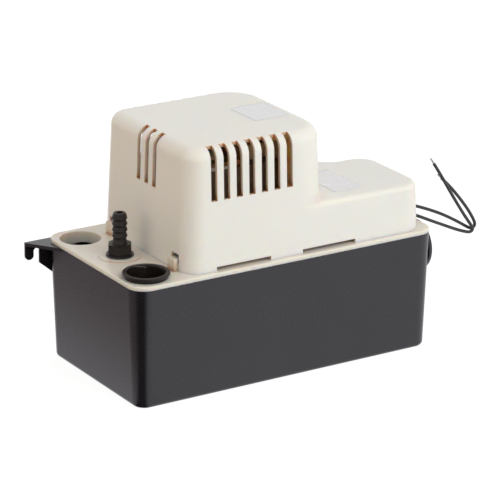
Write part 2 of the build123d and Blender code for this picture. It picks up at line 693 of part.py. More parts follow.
def bearing_bridge(foot_z, rise, hub_z):
    """A bridge with its bored hub and two bolt holes."""
    plate = bridge(foot_z, rise)
    plate += cylinder(MOTOR_X, 0, hub_z, BEARING_RADIUS + HUB_WALL, BEARING_LENGTH)
    plate -= cylinder(MOTOR_X, 0, hub_z - 1, BEARING_RADIUS + PRESS_GAP, BEARING_LENGTH + 2)
    for side in (-1, 1):
        hole = BOLT_RADIUS + LOOSE_GAP
        plate -= cylinder(MOTOR_X, side * BOLT_Y, foot_z - 2 * BRIDGE_THICK, hole, 4 * BRIDGE_THICK)
    return plate


def upper_bridge():
    return bearing_bridge(STACK_TOP, BRIDGE_RISE, HUB_TOP - BEARING_LENGTH)


def lower_bridge():
    return bearing_bridge(STACK_Z, -BRIDGE_RISE, LOWER_BRIDGE - 2)


def bearing(z):
    """A sintered sleeve bearing with a running fit on the shaft."""
    return tube(MOTOR_X, 0, z, BEARING_RADIUS, SHAFT_RADIUS + RUN_GAP, BEARING_LENGTH)


def motor_bolts():
    """Two long bolts through both bridges and the stack into the deck's posts."""
    bolts = []
    seat = STACK_TOP + BRIDGE_THICK
    end = STACK_Z - BRIDGE_THICK - BOLT_GRIP
    for side in (-1, 1):
        y = side * BOLT_Y
        stem = cylinder(MOTOR_X, y, end, BOLT_RADIUS, seat - end)
        head = hexagon(MOTOR_X, y, seat, 2 * BOLT_HEAD_RADIUS, BOLT_HEAD_HEIGHT)
        bolts.append(stem + head)
    return Compound(bolts)


def rotor():
    """Squirrel-cage rotor: the steel core with a smaller cast ring on each end."""
    inner = SHAFT_RADIUS + PRESS_GAP
    ring = ROTOR_RADIUS - 3
    low = STACK_Z - END_RING_HEIGHT
    high = STACK_TOP + END_RING_HEIGHT
    profile = [(inner, low), (ring, low), (ring, STACK_Z), (ROTOR_RADIUS, STACK_Z),
               (ROTOR_RADIUS, STACK_TOP), (ring, STACK_TOP), (ring, high), (inner, high)]
    return turned(profile, MOTOR_X, 0)


def motor_shaft():
    tip = 0.6
    r = SHAFT_RADIUS
    profile = [(0, SHAFT_BOTTOM), (r - tip, SHAFT_BOTTOM), (r, SHAFT_BOTTOM + tip),
               (r, SHAFT_TOP - tip), (r - tip, SHAFT_TOP), (0, SHAFT_TOP)]
    return turned(profile, MOTOR_X, 0)


def cooling_fan():
    """A moulded fan: hub, thin web and upright blades swept back from the hub."""
    fan = cylinder(MOTOR_X, 0, FAN_Z, FAN_HUB, FAN_HEIGHT)
    fan += cylinder(MOTOR_X, 0, FAN_Z, FAN_RADIUS, 1.2)
    mid = (FAN_HUB + FAN_RADIUS) / 2
    for i in range(FAN_BLADES):
        start = i * 360 / FAN_BLADES
        path = ThreePointArc(polar(FAN_HUB - 1, start), polar(mid, start + 8),
                             polar(FAN_RADIUS, start + 30))
        ribbon = trace(path, line_width=1.4)
        blade = extrude(Plane.XY.offset(FAN_Z) * ribbon, amount=FAN_HEIGHT)
        fan += Pos(MOTOR_X, 0, 0) * blade
    return fan - cylinder(MOTOR_X, 0, FAN_Z - 1, SHAFT_RADIUS + PRESS_GAP, FAN_HEIGHT + 2)


def polar(radius, angle):
    return (radius * cos(radians(angle)), radius * sin(radians(angle)))


def shaft_slinger():
    """A rubber disc on the shaft that throws damp off above the deck."""
    z = DECK_TOP + 2.5
    inner = SHAFT_RADIUS + PRESS_GAP
    profile = [(inner, z), (SLINGER_RADIUS, z), (SLINGER_RADIUS, z + 1), (inner + 2, z + 1.6),
               (inner + 2, z + SLINGER_THICK), (inner, z + SLINGER_THICK)]
    return turned(profile, MOTOR_X, 0)


# ---------------------------------------------------------------- pump

def column_screw_places():
    return [(MOTOR_X, side * COLUMN_SCREW_Y) for side in (-1, 1)]


def pump_column():
    """The tube that hangs the volute under the deck, with a screwed flange and drain holes."""
    length = TANK_HEIGHT - VOLUTE_TOP
    column = cylinder(MOTOR_X, 0, VOLUTE_TOP, COLUMN_RADIUS, length)
    flange = TANK_HEIGHT - COLUMN_FLANGE_THICK
    column += cylinder(MOTOR_X, 0, flange, COLUMN_FLANGE, COLUMN_FLANGE_THICK)
    foot = cylinder(MOTOR_X, 0, VOLUTE_TOP, COLUMN_RADIUS + 4, 2.2)
    column += foot
    column -= cylinder(MOTOR_X, 0, VOLUTE_TOP - 1, COLUMN_RADIUS - COLUMN_WALL, length + 2)
    column -= across(MOTOR_X, VOLUTE_TOP + length * 0.7, (-COLUMN_RADIUS, COLUMN_RADIUS), 3)
    for x, y in column_screw_places():
        column -= cylinder(x, y, flange - 1, SMALL_SCREW_RADIUS + LOOSE_GAP, COLUMN_FLANGE_THICK + 2)
    return column


def quarters():
    """The casing's four quarter arcs going clockwise: centre, radius and starting angle."""
    step = VOLUTE_GROWTH / 4
    centre = Vector(0, 0)
    arcs = []
    for i in range(4):
        start = -90 - 90 * i
        arcs.append((centre, VOLUTE_START + step * i, start))
        centre = centre - Vector(*polar(step, start - 90))
    return arcs


def spiral(extra):
    """The volute's plan: each arc larger than the last, closed by its throat."""
    arcs = [CenterArc(centre, radius + extra, start, -90) for centre, radius, start in quarters()]
    throat = Line(arcs[-1] @ 1, arcs[0] @ 0)
    return make_face(arcs + [throat])


def outlet_plane():
    """The outlet's axis: from beside the shaft towards the riser, tangent to the casing."""
    turn = radians(OUTLET_TURN)
    along = Vector(-cos(turn), sin(turn), 0)
    start = Vector(MOTOR_X, 0, OUTLET_Z) + Vector(-sin(turn), -cos(turn), 0) * OUTLET_OFFSET
    return Plane(origin=start, z_dir=along)


def outlet_length():
    return VOLUTE_START + VOLUTE_GROWTH + 4


def volute():
    """Pump casing: spiral wall, roof with a shaft hole, and the outlet with its hose spigot."""
    height = VOLUTE_TOP - CHAMBER_Z
    turn = Pos(MOTOR_X, 0, 0) * Rot(0, 0, -OUTLET_TURN)
    shell = turn * extrude(Plane.XY.offset(CHAMBER_Z) * spiral(VOLUTE_WALL), amount=height)
    way = outlet_plane()
    neck = extrude(way * Circle(SPIGOT_RADIUS + 1.2), amount=outlet_length())
    spigot = extrude(way * Circle(SPIGOT_RADIUS), amount=outlet_length() + SPIGOT_LENGTH)
    casing = shell + neck + spigot
    casing -= turn * extrude(Plane.XY.offset(CHAMBER_Z - 1) * spiral(0), amount=CHAMBER_HEIGHT + 1)
    casing -= extrude(way * Circle(SPIGOT_BORE), amount=outlet_length() + SPIGOT_LENGTH + 1)
    hole = SHAFT_RADIUS + 1
    casing -= cylinder(MOTOR_X, 0, CHAMBER_TOP - 1, hole, VOLUTE_WALL + 2)
    for x, y in intake_screw_places():
        casing += cylinder(x, y, CHAMBER_Z, SMALL_HEAD_RADIUS, height)
        casing -= cylinder(x, y, CHAMBER_Z - 1, SMALL_SCREW_RADIUS + PRESS_GAP,
                           INTAKE_SCREW_DEPTH + 2)
    return casing


def intake_screw_places():
    """An ear outside the wall at the middle of each quarter, except the outlet's."""
    places = []
    for centre, radius, start in quarters()[1:]:
        reach = radius + VOLUTE_WALL + SMALL_HEAD_RADIUS - 0.8
        spot = (centre + Vector(*polar(reach, start - 45))).rotate(Axis.Z, -OUTLET_TURN)
        places.append((MOTOR_X + spot.X, spot.Y))
    return places


def intake_plate():
    """The casing's floor, with the intake eye and three ears."""
    turn = Pos(MOTOR_X, 0, 0) * Rot(0, 0, -OUTLET_TURN)
    plate = turn * extrude(Plane.XY.offset(INTAKE_LIFT) * spiral(VOLUTE_WALL), amount=INTAKE_PLATE)
    for x, y in intake_screw_places():
        plate += cylinder(x, y, INTAKE_LIFT, SMALL_HEAD_RADIUS, INTAKE_PLATE)
    plate -= cylinder(MOTOR_X, 0, INTAKE_LIFT - 1, INTAKE_RADIUS, INTAKE_PLATE + 2)
    for x, y in intake_screw_places():
        bore = SMALL_SCREW_RADIUS + LOOSE_GAP
        plate -= cylinder(x, y, INTAKE_LIFT - 1, bore, INTAKE_PLATE + 2)
    return plate


def impeller():
    """An open impeller: back disc, hub and curved vanes underneath."""
    disc_z = IMPELLER_TOP - IMPELLER_DISC
    wheel = cylinder(MOTOR_X, 0, disc_z, IMPELLER_RADIUS, IMPELLER_DISC)
    wheel += cylinder(MOTOR_X, 0, disc_z - VANE_HEIGHT + 1, IMPELLER_HUB, VANE_HEIGHT)
    mid = (IMPELLER_HUB + IMPELLER_RADIUS) / 2
    for i in range(IMPELLER_VANES):
        start = i * 360 / IMPELLER_VANES
        path = ThreePointArc(polar(IMPELLER_HUB - 1, start), polar(mid, start - 14),
                             polar(IMPELLER_RADIUS - 0.5, start - 50))
        ribbon = trace(path, line_width=VANE_THICK)
        vane = extrude(Plane.XY.offset(disc_z - VANE_HEIGHT) * ribbon, amount=VANE_HEIGHT + 0.5)
        wheel += Pos(MOTOR_X, 0, 0) * vane
    bottom = disc_z - VANE_HEIGHT - 1
    return wheel - cylinder(MOTOR_X, 0, bottom, SHAFT_RADIUS + PRESS_GAP, VANE_HEIGHT + 5)


# ---------------------------------------------------------------- discharge

def discharge_hose():
    """The hose from the volute's spigot up to the check valve."""
    way = outlet_plane()
    start = way.origin + way.z_dir * outlet_length()
    corner = Vector(DISCHARGE_X, 0, OUTLET_Z)
    end = Vector(DISCHARGE_X, 0, SEAT_Z)
    path = FilletPolyline(start, corner, end, radius=HOSE_BEND)
    section = Plane(origin=start, z_dir=way.z_dir) * (Circle(HOSE_RADIUS) - Circle(HOSE_BORE))
    return sweep(section, path=path)


def hose_clamps():
    """A spring band over the hose at each spigot."""
    band = Circle(HOSE_RADIUS + CLAMP_THICK) - Circle(HOSE_RADIUS + PRESS_GAP)
    way = outlet_plane()
    low = Plane(origin=way.origin + way.z_dir * (outlet_length() + 2), z_dir=way.z_dir)
    high = Plane(origin=(DISCHARGE_X, 0, SEAT_Z - 2 - CLAMP_WIDTH), z_dir=(0, 0, 1))
    return Compound([extrude(low * band, amount=CLAMP_WIDTH), extrude(high * band, amount=CLAMP_WIDTH)])


def valve_seat():
    """The valve's lower half: a hose spigot below, the ball's seat above."""
    outer = VALVE_CHAMBER_RADIUS + 0.6
    shoulder = VALVE_THREAD_RADIUS
    seat_top = SEAT_Z + SEAT_HEIGHT
    profile = [(SPIGOT_BORE, SEAT_Z - SPIGOT_LENGTH), (SPIGOT_RADIUS, SEAT_Z - SPIGOT_LENGTH),
               (SPIGOT_RADIUS, SEAT_Z), (shoulder, SEAT_Z), (shoulder, THREAD_BOTTOM),
               (outer, THREAD_BOTTOM), (outer, seat_top), (SEAT_BORE, seat_top),
               (SEAT_BORE, seat_top - 2), (SPIGOT_BORE, seat_top - 4)]
    return turned(profile, DISCHARGE_X, 0)


def barb_profile():
    """The outside of the barbed stem, from the hex upwards: each barb rises and steps in."""
    points = [(BARB_STEM_RADIUS + 0.8, HEX_TOP), (BARB_STEM_RADIUS, HEX_TOP + BARB_LEAD - 1.5)]
    for i in range(BARB_COUNT):
        z = HEX_TOP + BARB_LEAD + i * BARB_PITCH
        points.append((BARB_STEM_RADIUS, z))
        points.append((BARB_RADIUS, z + 0.5))
        if i < BARB_COUNT - 1:
            points.append((BARB_STEM_RADIUS, z + BARB_PITCH * 0.75))
    points.append((BARB_TIP_RADIUS + 0.5, BARB_TOP - 0.8))
    points.append((BARB_TIP_RADIUS, BARB_TOP))
    return points


def discharge_fitting():
    """Threaded body, seating flange, hex and barbed stem in one moulding."""
    base = DECK_TOP + PAD_RISE
    chamber = VALVE_CHAMBER_RADIUS
    seat_bore = chamber + 0.6 + PRESS_GAP
    thread = VALVE_THREAD_RADIUS
    seat_top = SEAT_Z + SEAT_HEIGHT
    profile = [(seat_bore, THREAD_BOTTOM), (thread, THREAD_BOTTOM), (thread, base),
               (FLANGE_RADIUS - 0.5, base), (FLANGE_RADIUS, base + 0.4),
               (FLANGE_RADIUS - 0.3, base + FLANGE_THICK), (HEX_ACROSS / 2 - 0.4, base + FLANGE_THICK)]
    profile += [(HEX_ACROSS / 2 - 0.4, HEX_TOP)] + barb_profile()
    profile += [(BARB_BORE, BARB_TOP), (BARB_BORE, CHAMBER_ROOF), (chamber, CHAMBER_ROOF),
                (chamber, seat_top), (seat_bore, seat_top)]
    body = turned(profile, DISCHARGE_X, 0)
    flats = hexagon(DISCHARGE_X, 0, base + FLANGE_THICK, HEX_ACROSS, HEX_HEIGHT)
    cone = turned([(0, base), (12, base), (12, HEX_TOP - 1.6), (HEX_ACROSS / 2 - 0.3, HEX_TOP),
                   (0, HEX_TOP)], DISCHARGE_X, 0)
    core = cylinder(DISCHARGE_X, 0, base, HEX_ACROSS / 2 - 0.8, HEX_HEIGHT + FLANGE_THICK)
    return body + ((flats & cone) - core)


def discharge_nut():
    nut = hexagon(DISCHARGE_X, 0, TANK_HEIGHT - GASKET_THICK - NUT_THICK, NUT_ACROSS, NUT_THICK)
    return nut - cylinder(DISCHARGE_X, 0, 0, VALVE_THREAD_RADIUS + PRESS_GAP, TANK_HEIGHT)


def discharge_gasket():
    z = TANK_HEIGHT - GASKET_THICK
    return tube(DISCHARGE_X, 0, z, NUT_ACROSS / 2, VALVE_THREAD_RADIUS + PRESS_GAP, GASKET_THICK)


def valve_ball():
    return Pos(DISCHARGE_X, 0, BALL_Z) * Sphere(BALL_RADIUS)


def valve_spring():
    """A light coil spring between the ball and the roof of the valve's chamber."""
    drop = (BALL_RADIUS ** 2 - SPRING_RADIUS ** 2) ** 0.5
    low = BALL_Z + drop + SPRING_WIRE + 0.15
    height = CHAMBER_ROOF - SPRING_WIRE - 0.05 - low
    coil = Helix(height / SPRING_TURNS, height, SPRING_RADIUS)
    section = Plane(origin=coil @ 0, z_dir=coil % 0) * RegularPolygon(SPRING_WIRE, 6)
    return Pos(DISCHARGE_X, 0, low) * sweep(section, path=coil, is_frenet=True)


# ---------------------------------------------------------------- inlet plugs

def inlet_plug(x, y, turn):
    """A cup-shaped stopper with a proud rim and a finger grip from its wall to its middle."""
    outer = INLET_RADIUS - PLUG_GAP
    floor = DECK_TOP - PLUG_DEPTH
    neck = DECK_TOP + PLUG_NECK_HEIGHT
    rim = neck + PLUG_RIM_HEIGHT
    mouth = outer - PLUG_SKIN
    profile = [(0, floor), (outer - 0.6, floor), (outer, floor + 0.6), (outer, DECK_TOP),
               (PLUG_NECK_RADIUS, DECK_TOP), (PLUG_NECK_RADIUS + PLUG_NECK_FLARE, neck),
               (PLUG_RIM_RADIUS, neck), (PLUG_RIM_RADIUS, rim - 0.5), (PLUG_RIM_RADIUS - 0.5, rim),
               (mouth + 0.4, rim), (mouth, rim - 1.2), (mouth - 0.4, floor + PLUG_SKIN),
               (0, floor + PLUG_SKIN)]
    cup = turned(profile, 0, 0)
    top = rim + PLUG_GRIP_RISE
    grip = block((0, mouth + 0.2), (-PLUG_GRIP_THICK / 2, PLUG_GRIP_THICK / 2), (floor + 1, top))
    corner = grip.edges().filter_by(Axis.Y).group_by(Axis.Z)[-1].sort_by(Axis.X)
    grip = fillet(corner[-1], 4.5)
    grip = fillet(grip.edges().filter_by(Axis.Y).group_by(Axis.Z)[-1].sort_by(Axis.X)[0], 1.0)
    return Pos(x, y, 0) * Rot(0, 0, turn) * (cup + grip)


# ---------------------------------------------------------------- float

def bracket_screw_places():
    return [(PIVOT_X - BRACKET_SCREW_X, ROD_Y + side * BRACKET_SCREW_Y) for side in (-1, 1)]


def float_bracket():
    """A base under the deck with two ears that carry the arm's pin."""
    top = TANK_HEIGHT
    gap = ARM_THICK / 2 + LOOSE_GAP + 0.15
    y = (ROD_Y - BRACKET_HALF, ROD_Y + BRACKET_HALF)
    base = block((PIVOT_X - BRACKET_BACK, ROD_X + 3 * ROD_RADIUS), y, (top - BRACKET_BASE, top))
    bracket = fillet(base.edges().filter_by(Axis.Z), 3)
    for side in (-1, 1):
        y = sorted((ROD_Y + side * gap, ROD_Y + side * (gap + EAR_THICK)))
        round_end = across(PIVOT_X, PIVOT_Z, y, EAR_RADIUS)
        bracket += round_end + block((PIVOT_X - EAR_RADIUS, PIVOT_X + EAR_RADIUS), y, (PIVOT_Z, top))
    span = gap + EAR_THICK + 1
    bracket -= across(PIVOT_X, PIVOT_Z, (ROD_Y - span, ROD_Y + span), PIN_RADIUS + PRESS_GAP)
    bracket -= cylinder(ROD_X, ROD_Y, top - BRACKET_BASE - 1, ROD_RADIUS + RUN_GAP, BRACKET_BASE + 2)
    for x, y in bracket_screw_places():
        bracket -= cylinder(x, y, top - BRACKET_BASE - 1, SMALL_SCREW_RADIUS + LOOSE_GAP,
                            BRACKET_BASE + 2)
    return bracket


def float_pin():
    reach = ARM_THICK / 2 + LOOSE_GAP + 0.15 + EAR_THICK
    pin = across(PIVOT_X, PIVOT_Z, (ROD_Y - reach, ROD_Y + reach), PIN_RADIUS)
    head = across(PIVOT_X, PIVOT_Z, (ROD_Y - reach - 1.2, ROD_Y - reach), PIN_RADIUS + 1)
    return pin + head


def float_arm():
    """A bent lever: bored boss, pad under the rod, bar down to a foot on the float."""
    foot_z = FLOAT_Z + FLOAT_HEIGHT / 2 + ARM_BAR_RADIUS
    knee_x = FLOAT_X - FLOAT_LENGTH / 4
    boss = Pos(PIVOT_X, PIVOT_Z) * Circle(ARM_BOSS_RADIUS)
    pad = Pos(ROD_X, PIVOT_Z) * Circle(ARM_PAD_RADIUS)
    bar = make_hull((boss + Pos(knee_x, foot_z) * Circle(ARM_BAR_RADIUS)).edges())
    link = make_hull(((Pos(PIVOT_X, PIVOT_Z) * Circle(ARM_PAD_RADIUS)) + pad).edges())
    foot = Pos((knee_x + FLOAT_X + 8) / 2, foot_z) \
        * SlotCenterToCenter(FLOAT_X + 8 - knee_x, 2 * ARM_BAR_RADIUS)
    face = Plane.XZ.offset(-ROD_Y) * (bar + link + foot)
    arm = extrude(face, amount=ARM_THICK / 2, both=True)
    arm -= across(PIVOT_X, PIVOT_Z, (ROD_Y - 5, ROD_Y + 5), PIN_RADIUS + RUN_GAP)
    return arm - cylinder(FLOAT_X, ROD_Y, foot_z - 5, SMALL_SCREW_RADIUS + PRESS_GAP, 10)


def float_body():
    """The closed float, softened on every edge, with a pilot hole for the arm's screw."""
    x = (FLOAT_X - FLOAT_LENGTH / 2, FLOAT_X + FLOAT_LENGTH / 2)
    y = (FLOAT_Y - FLOAT_WIDTH / 2, FLOAT_Y + FLOAT_WIDTH / 2)
    z = (FLOAT_Z - FLOAT_HEIGHT / 2, FLOAT_Z + FLOAT_HEIGHT / 2)
    shape = block(x, y, z)
    shape = fillet(shape.edges().filter_by(Axis.Z), FLOAT_RADIUS)
    shape = fillet(shape.faces().sort_by(Axis.Z)[-1].edges(), 2.5)
    shape = fillet(shape.faces().sort_by(Axis.Z)[0].edges(), 2.5)
    return shape - cylinder(FLOAT_X, ROD_Y, z[1] - 9, SMALL_SCREW_RADIUS + PRESS_GAP, 10)


def float_screw():
    seat = FLOAT_Z + FLOAT_HEIGHT / 2 + 2 * ARM_BAR_RADIUS
    head = cylinder(FLOAT_X, ROD_Y, seat, ARM_THICK / 2 - 0.1, SMALL_HEAD_HEIGHT)
    return head + cylinder(FLOAT_X, ROD_Y, seat - 2 * ARM_BAR_RADIUS - 8, SMALL_SCREW_RADIUS,
                           2 * ARM_BAR_RADIUS + 8)


def actuator_rod():
    """The upright rod: round lower end on the arm's pad, a crossbar under both levers."""
    low = PIVOT_Z + ARM_PAD_RADIUS + 0.05 + ROD_RADIUS
    bar = crossbar_z()
    rod = cylinder(ROD_X, ROD_Y, low, ROD_RADIUS, bar - low)
    rod += Pos(ROD_X, ROD_Y, low) * Sphere(ROD_RADIUS)
    half = CROSSBAR_LENGTH / 2
    return rod + across(ROD_X, bar, (ROD_Y - half, ROD_Y + half), CROSSBAR_RADIUS)


def crossbar_z():
    """The crossbar's height at rest, a little under the drooping levers."""
    droop = LEVER_REACH * tan(LEVER_SWING)
    return LEVER_Z - droop - LEVER_THICK / 2 - 0.3 - CROSSBAR_RADIUS


# ---------------------------------------------------------------- switches

def switch_body(y):
    """A snap switch hung upside down: chamfered case, groove for the lever, plunger hole."""
    case = block((SWITCH_LEFT, SWITCH_RIGHT), (y - SWITCH_THICK / 2, y + SWITCH_THICK / 2),
                 (SWITCH_Z, SWITCH_TOP))
    case = chamfer(case.edges().filter_by(Axis.Y), 1.0)
    ends = (y - SWITCH_THICK / 2 - 1, y + SWITCH_THICK / 2 + 1)
    case -= across(LEVER_X, LEVER_Z, ends, LEVER_ROLL + RUN_GAP)
    hole = PLUNGER_RADIUS + RUN_GAP
    case -= cylinder(LEVER_X - PLUNGER_REACH, y, SWITCH_Z - 1, hole, 6)
    for x, z in switch_screw_places():
        case -= across(x, z, ends, SWITCH_SCREW_RADIUS + PRESS_GAP)
    for i in range(3):
        z = blade_height(i)
        slot = (z - BLADE_THICK / 2 - PRESS_GAP, z + BLADE_THICK / 2 + PRESS_GAP)
        half = BLADE_WIDTH / 2 + PRESS_GAP
        case -= block((SWITCH_RIGHT - 3, SWITCH_RIGHT + 1), (y - half, y + half), slot)
    return case


def switch_screw_places():
    return [(SWITCH_LEFT + 3.4, SWITCH_TOP - 3.2), (SWITCH_RIGHT - 5, SWITCH_Z + 5.6)]


def blade_height(i):
    return SWITCH_Z + 2.4 + i * BLADE_PITCH


def switch_blades():
    """The terminals: three push-on blades in the end of each switch."""
    blades = []
    for y in SWITCH_YS:
        for i in range(3):
            z = blade_height(i)
            x = (SWITCH_RIGHT - 3, SWITCH_RIGHT + BLADE_LENGTH)
            blades.append(block(x, (y - BLADE_WIDTH / 2, y + BLADE_WIDTH / 2),
                                (z - BLADE_THICK / 2, z + BLADE_THICK / 2)))
    return Compound(blades)


def switch_lever(y):
    """A leaf on a roll in the case's groove; at rest it droops, pressed it lies level."""
    leaf = block((-LEVER_REACH - LEVER_TAIL, 0), (-LEVER_WIDTH / 2, LEVER_WIDTH / 2),
                 (-LEVER_THICK / 2, LEVER_THICK / 2))
    leaf += across(0, 0, (-LEVER_WIDTH / 2, LEVER_WIDTH / 2), LEVER_ROLL)
    return Pos(LEVER_X, y, LEVER_Z) * Rot(0, -degrees(LEVER_SWING), 0) * leaf


def switch_plunger(y):
    """The button between the lever and the switch's inside."""
    x = LEVER_X - PLUNGER_REACH
    low = LEVER_Z + LEVER_THICK / 2 - (PLUNGER_REACH - PLUNGER_RADIUS) * tan(LEVER_SWING) + 0.1
    return cylinder(x, y, low, PLUNGER_RADIUS, SWITCH_Z + 2.8 - low)


def stand_screw_places():
    y = ROD_Y + STAND_OUT + STAND_FOOT / 2
    return [(SWITCH_LEFT + STAND_SCREW_INSET, y), (SWITCH_RIGHT - STAND_SCREW_INSET, y)]


def switch_stand():
    """A bent sheet stand: foot on the deck, upright, and the blade between the switches."""
    half = (SWITCH_PITCH - SWITCH_THICK) / 2 - PRESS_GAP
    x = (SWITCH_LEFT + 1, SWITCH_RIGHT - 1)
    out = ROD_Y + STAND_OUT
    roof = SWITCH_TOP + 0.2 + STAND_SHEET
    blade = block(x, (ROD_Y - half, ROD_Y + half), (SWITCH_Z - 1, roof))
    blade += block(x, (ROD_Y - half, out), (roof - STAND_SHEET, roof))
    blade += block(x, (out - STAND_SHEET, out), (DECK_TOP, roof))
    blade += block(x, (out - STAND_SHEET, out + STAND_FOOT), (DECK_TOP, DECK_TOP + STAND_SHEET))
    for place_x, z in switch_screw_places():
        blade -= across(place_x, z, (ROD_Y - 3, ROD_Y + 3), SWITCH_SCREW_RADIUS + LOOSE_GAP)
    for place_x, y in stand_screw_places():
        blade -= cylinder(place_x, y, DECK_TOP - 1, SMALL_SCREW_RADIUS + LOOSE_GAP, 3)
    return blade


def switch_screws():
    """Two long screws through both switches, each with a head and a nut."""
    reach = SWITCH_PITCH / 2 + SWITCH_THICK / 2
    screws = []
    for x, z in switch_screw_places():
        stem = across(x, z, (ROD_Y - reach, ROD_Y + reach), SWITCH_SCREW_RADIUS)
        head = across(x, z, (ROD_Y - reach - SMALL_HEAD_HEIGHT, ROD_Y - reach), SMALL_HEAD_RADIUS)
        nut = Pos(x, ROD_Y + reach, z) * Rot(-90, 0, 0) \
            * extrude(RegularPolygon(SMALL_HEAD_RADIUS, 6), amount=2)
        screws.append(stem + head + nut)
    return Compound(screws)


# ---------------------------------------------------------------- small screws

def pan_screw(x, y, seat, length, up):
    """A pan-head screw; its stem points up from the seat, or down."""
    if up:
        head = cylinder(x, y, seat - SMALL_HEAD_HEIGHT, SMALL_HEAD_RADIUS, SMALL_HEAD_HEIGHT)
        return head + cylinder(x, y, seat, SMALL_SCREW_RADIUS, length)
    head = cylinder(x, y, seat, SMALL_HEAD_RADIUS, SMALL_HEAD_HEIGHT)
    return head + cylinder(x, y, seat - length, SMALL_SCREW_RADIUS, length)


def column_screws():
    seat = TANK_HEIGHT - COLUMN_FLANGE_THICK
    return Compound([pan_screw(x, y, seat, COLUMN_FLANGE_THICK + DECK_THICK, True)
                     for x, y in column_screw_places()])


def bracket_screws():
    seat = TANK_HEIGHT - BRACKET_BASE
    return Compound([pan_screw(x, y, seat, BRACKET_BASE + DECK_THICK, True)
                     for x, y in bracket_screw_places()])


def stand_screws():
    return Compound([pan_screw(x, y, DECK_TOP + STAND_SHEET, DECK_THICK + STAND_SHEET, False)
                     for x, y in stand_screw_places()])


def intake_screws():
    return Compound([pan_screw(x, y, INTAKE_LIFT, INTAKE_PLATE + INTAKE_SCREW_DEPTH, True)
                     for x, y in intake_screw_places()])


# ---------------------------------------------------------------- leads, grommet, gland

def wall_crossing(y, route):
    """The route's second run, which crosses the end wall: its start and its direction."""
    (x0, z0), (x1, z1) = route[1:3]
    return Vector(x0, y, z0), Vector(x1 - x0, 0, z1 - z0).normalized()


def lead_routes():
    return [(UPPER_LEAD_Y, UPPER_LEAD_XZ, UPPER_BARE), (LOWER_LEAD_Y, LOWER_LEAD_XZ, LOWER_BARE)]


def grommet_place():
    """The middle of the two leads where they cross the end wall's outer face."""
    heights = []
    for y, route, bare in lead_routes():
        start, along = wall_crossing(y, route)
        heights.append(start.Z + along.Z / along.X * (LOW_RIGHT - start.X))
    middle = sum(heights) / 2
    draw = (middle - DECK_TOP) * tan(radians(COVER_DRAFT))
    return LOW_RIGHT - draw, (UPPER_LEAD_Y + LOWER_LEAD_Y) / 2, middle


def lead_grommet():
    """A rubber bush in the end wall with a lip on each side and a bore for each lead."""
    x, y, z = grommet_place()
    body = Cylinder(GROMMET_RADIUS, COVER_WALL + 2 * GROMMET_FLANGE)
    shape = Pos(-COVER_WALL / 2, 0, 0) * Rot(0, 90, 0) * body
    gap = (GROMMET_RADIUS + GROMMET_LIP) * tan(radians(COVER_DRAFT)) + 0.05
    for side in (gap, -COVER_WALL - gap - GROMMET_FLANGE):
        lip = Cylinder(GROMMET_RADIUS + GROMMET_LIP, GROMMET_FLANGE)
        shape += Pos(side + GROMMET_FLANGE / 2, 0, 0) * Rot(0, 90, 0) * lip
    shape = Pos(x, y, z) * shape
    for lead_y, route, bare in lead_routes():
        start, along = wall_crossing(lead_y, route)
        bore = Plane(origin=start, z_dir=along) * Circle(LEAD_RADIUS + PRESS_GAP)
        shape -= extrude(bore, amount=24)
    return shape


def gland_place():
    return LOW_STEP_X, GLAND_Y, DECK_TOP + GLAND_RISE


def cord_gland():
    """The strain relief for the supply cord: flanged bush with an open bore."""
    x, y, z = gland_place()
    ring = Circle(GLAND_RADIUS) - Circle(GLAND_BORE)
    flange = Circle(GLAND_FLANGE_RADIUS) - Circle(GLAND_BORE)
    bush = Plane.YZ.offset(-GLAND_LENGTH + GLAND_FLANGE) * ring
    front = Plane.YZ.offset(0.1) * flange
    shape = extrude(bush, amount=GLAND_LENGTH) + extrude(front, amount=GLAND_FLANGE)
    return Pos(x, y, z) * shape


def bend_radii(points):
    """For each inner point, 0.45 of the shorter run over the tangent of half the turn."""
    radii = []
    for before, here, after in zip(points, points[1:], points[2:]):
        first = here - before
        second = after - here
        turn = radians(first.get_angle(second))
        radii.append(0.45 * min(first.length, second.length) / tan(turn / 2))
    return radii


def lead(name, y, route):
    """One insulated lead along its route in an upright plane."""
    points = [Vector(x, y, z) for x, z in route]
    radii = bend_radii(points)
    path = FilletPolyline(*points, radius=radii)
    section = Plane(origin=path @ 0, z_dir=path % 0) * Circle(LEAD_RADIUS)
    shape = sweep(section, path=path)
    expected = pi * LEAD_RADIUS ** 2 * path.length
    print(name, "length", round(path.length, 1), "radii", [round(r, 1) for r in radii])
    print(name, "volume", round(shape.volume, 2), "section times length", round(expected, 2))
    return shape


def bare_ends():
    """The tinned strands beyond the insulation of each lead."""
    ends = []
    for y, route, bare in lead_routes():
        (x0, z0), (x1, z1) = route[-2:]
        along = Vector(x1 - x0, 0, z1 - z0).normalized()
        plane = Plane(origin=(x1, y, z1), z_dir=along)
        ends.append(extrude(plane * Circle(STRAND_RADIUS), amount=bare))
    return Compound(ends)


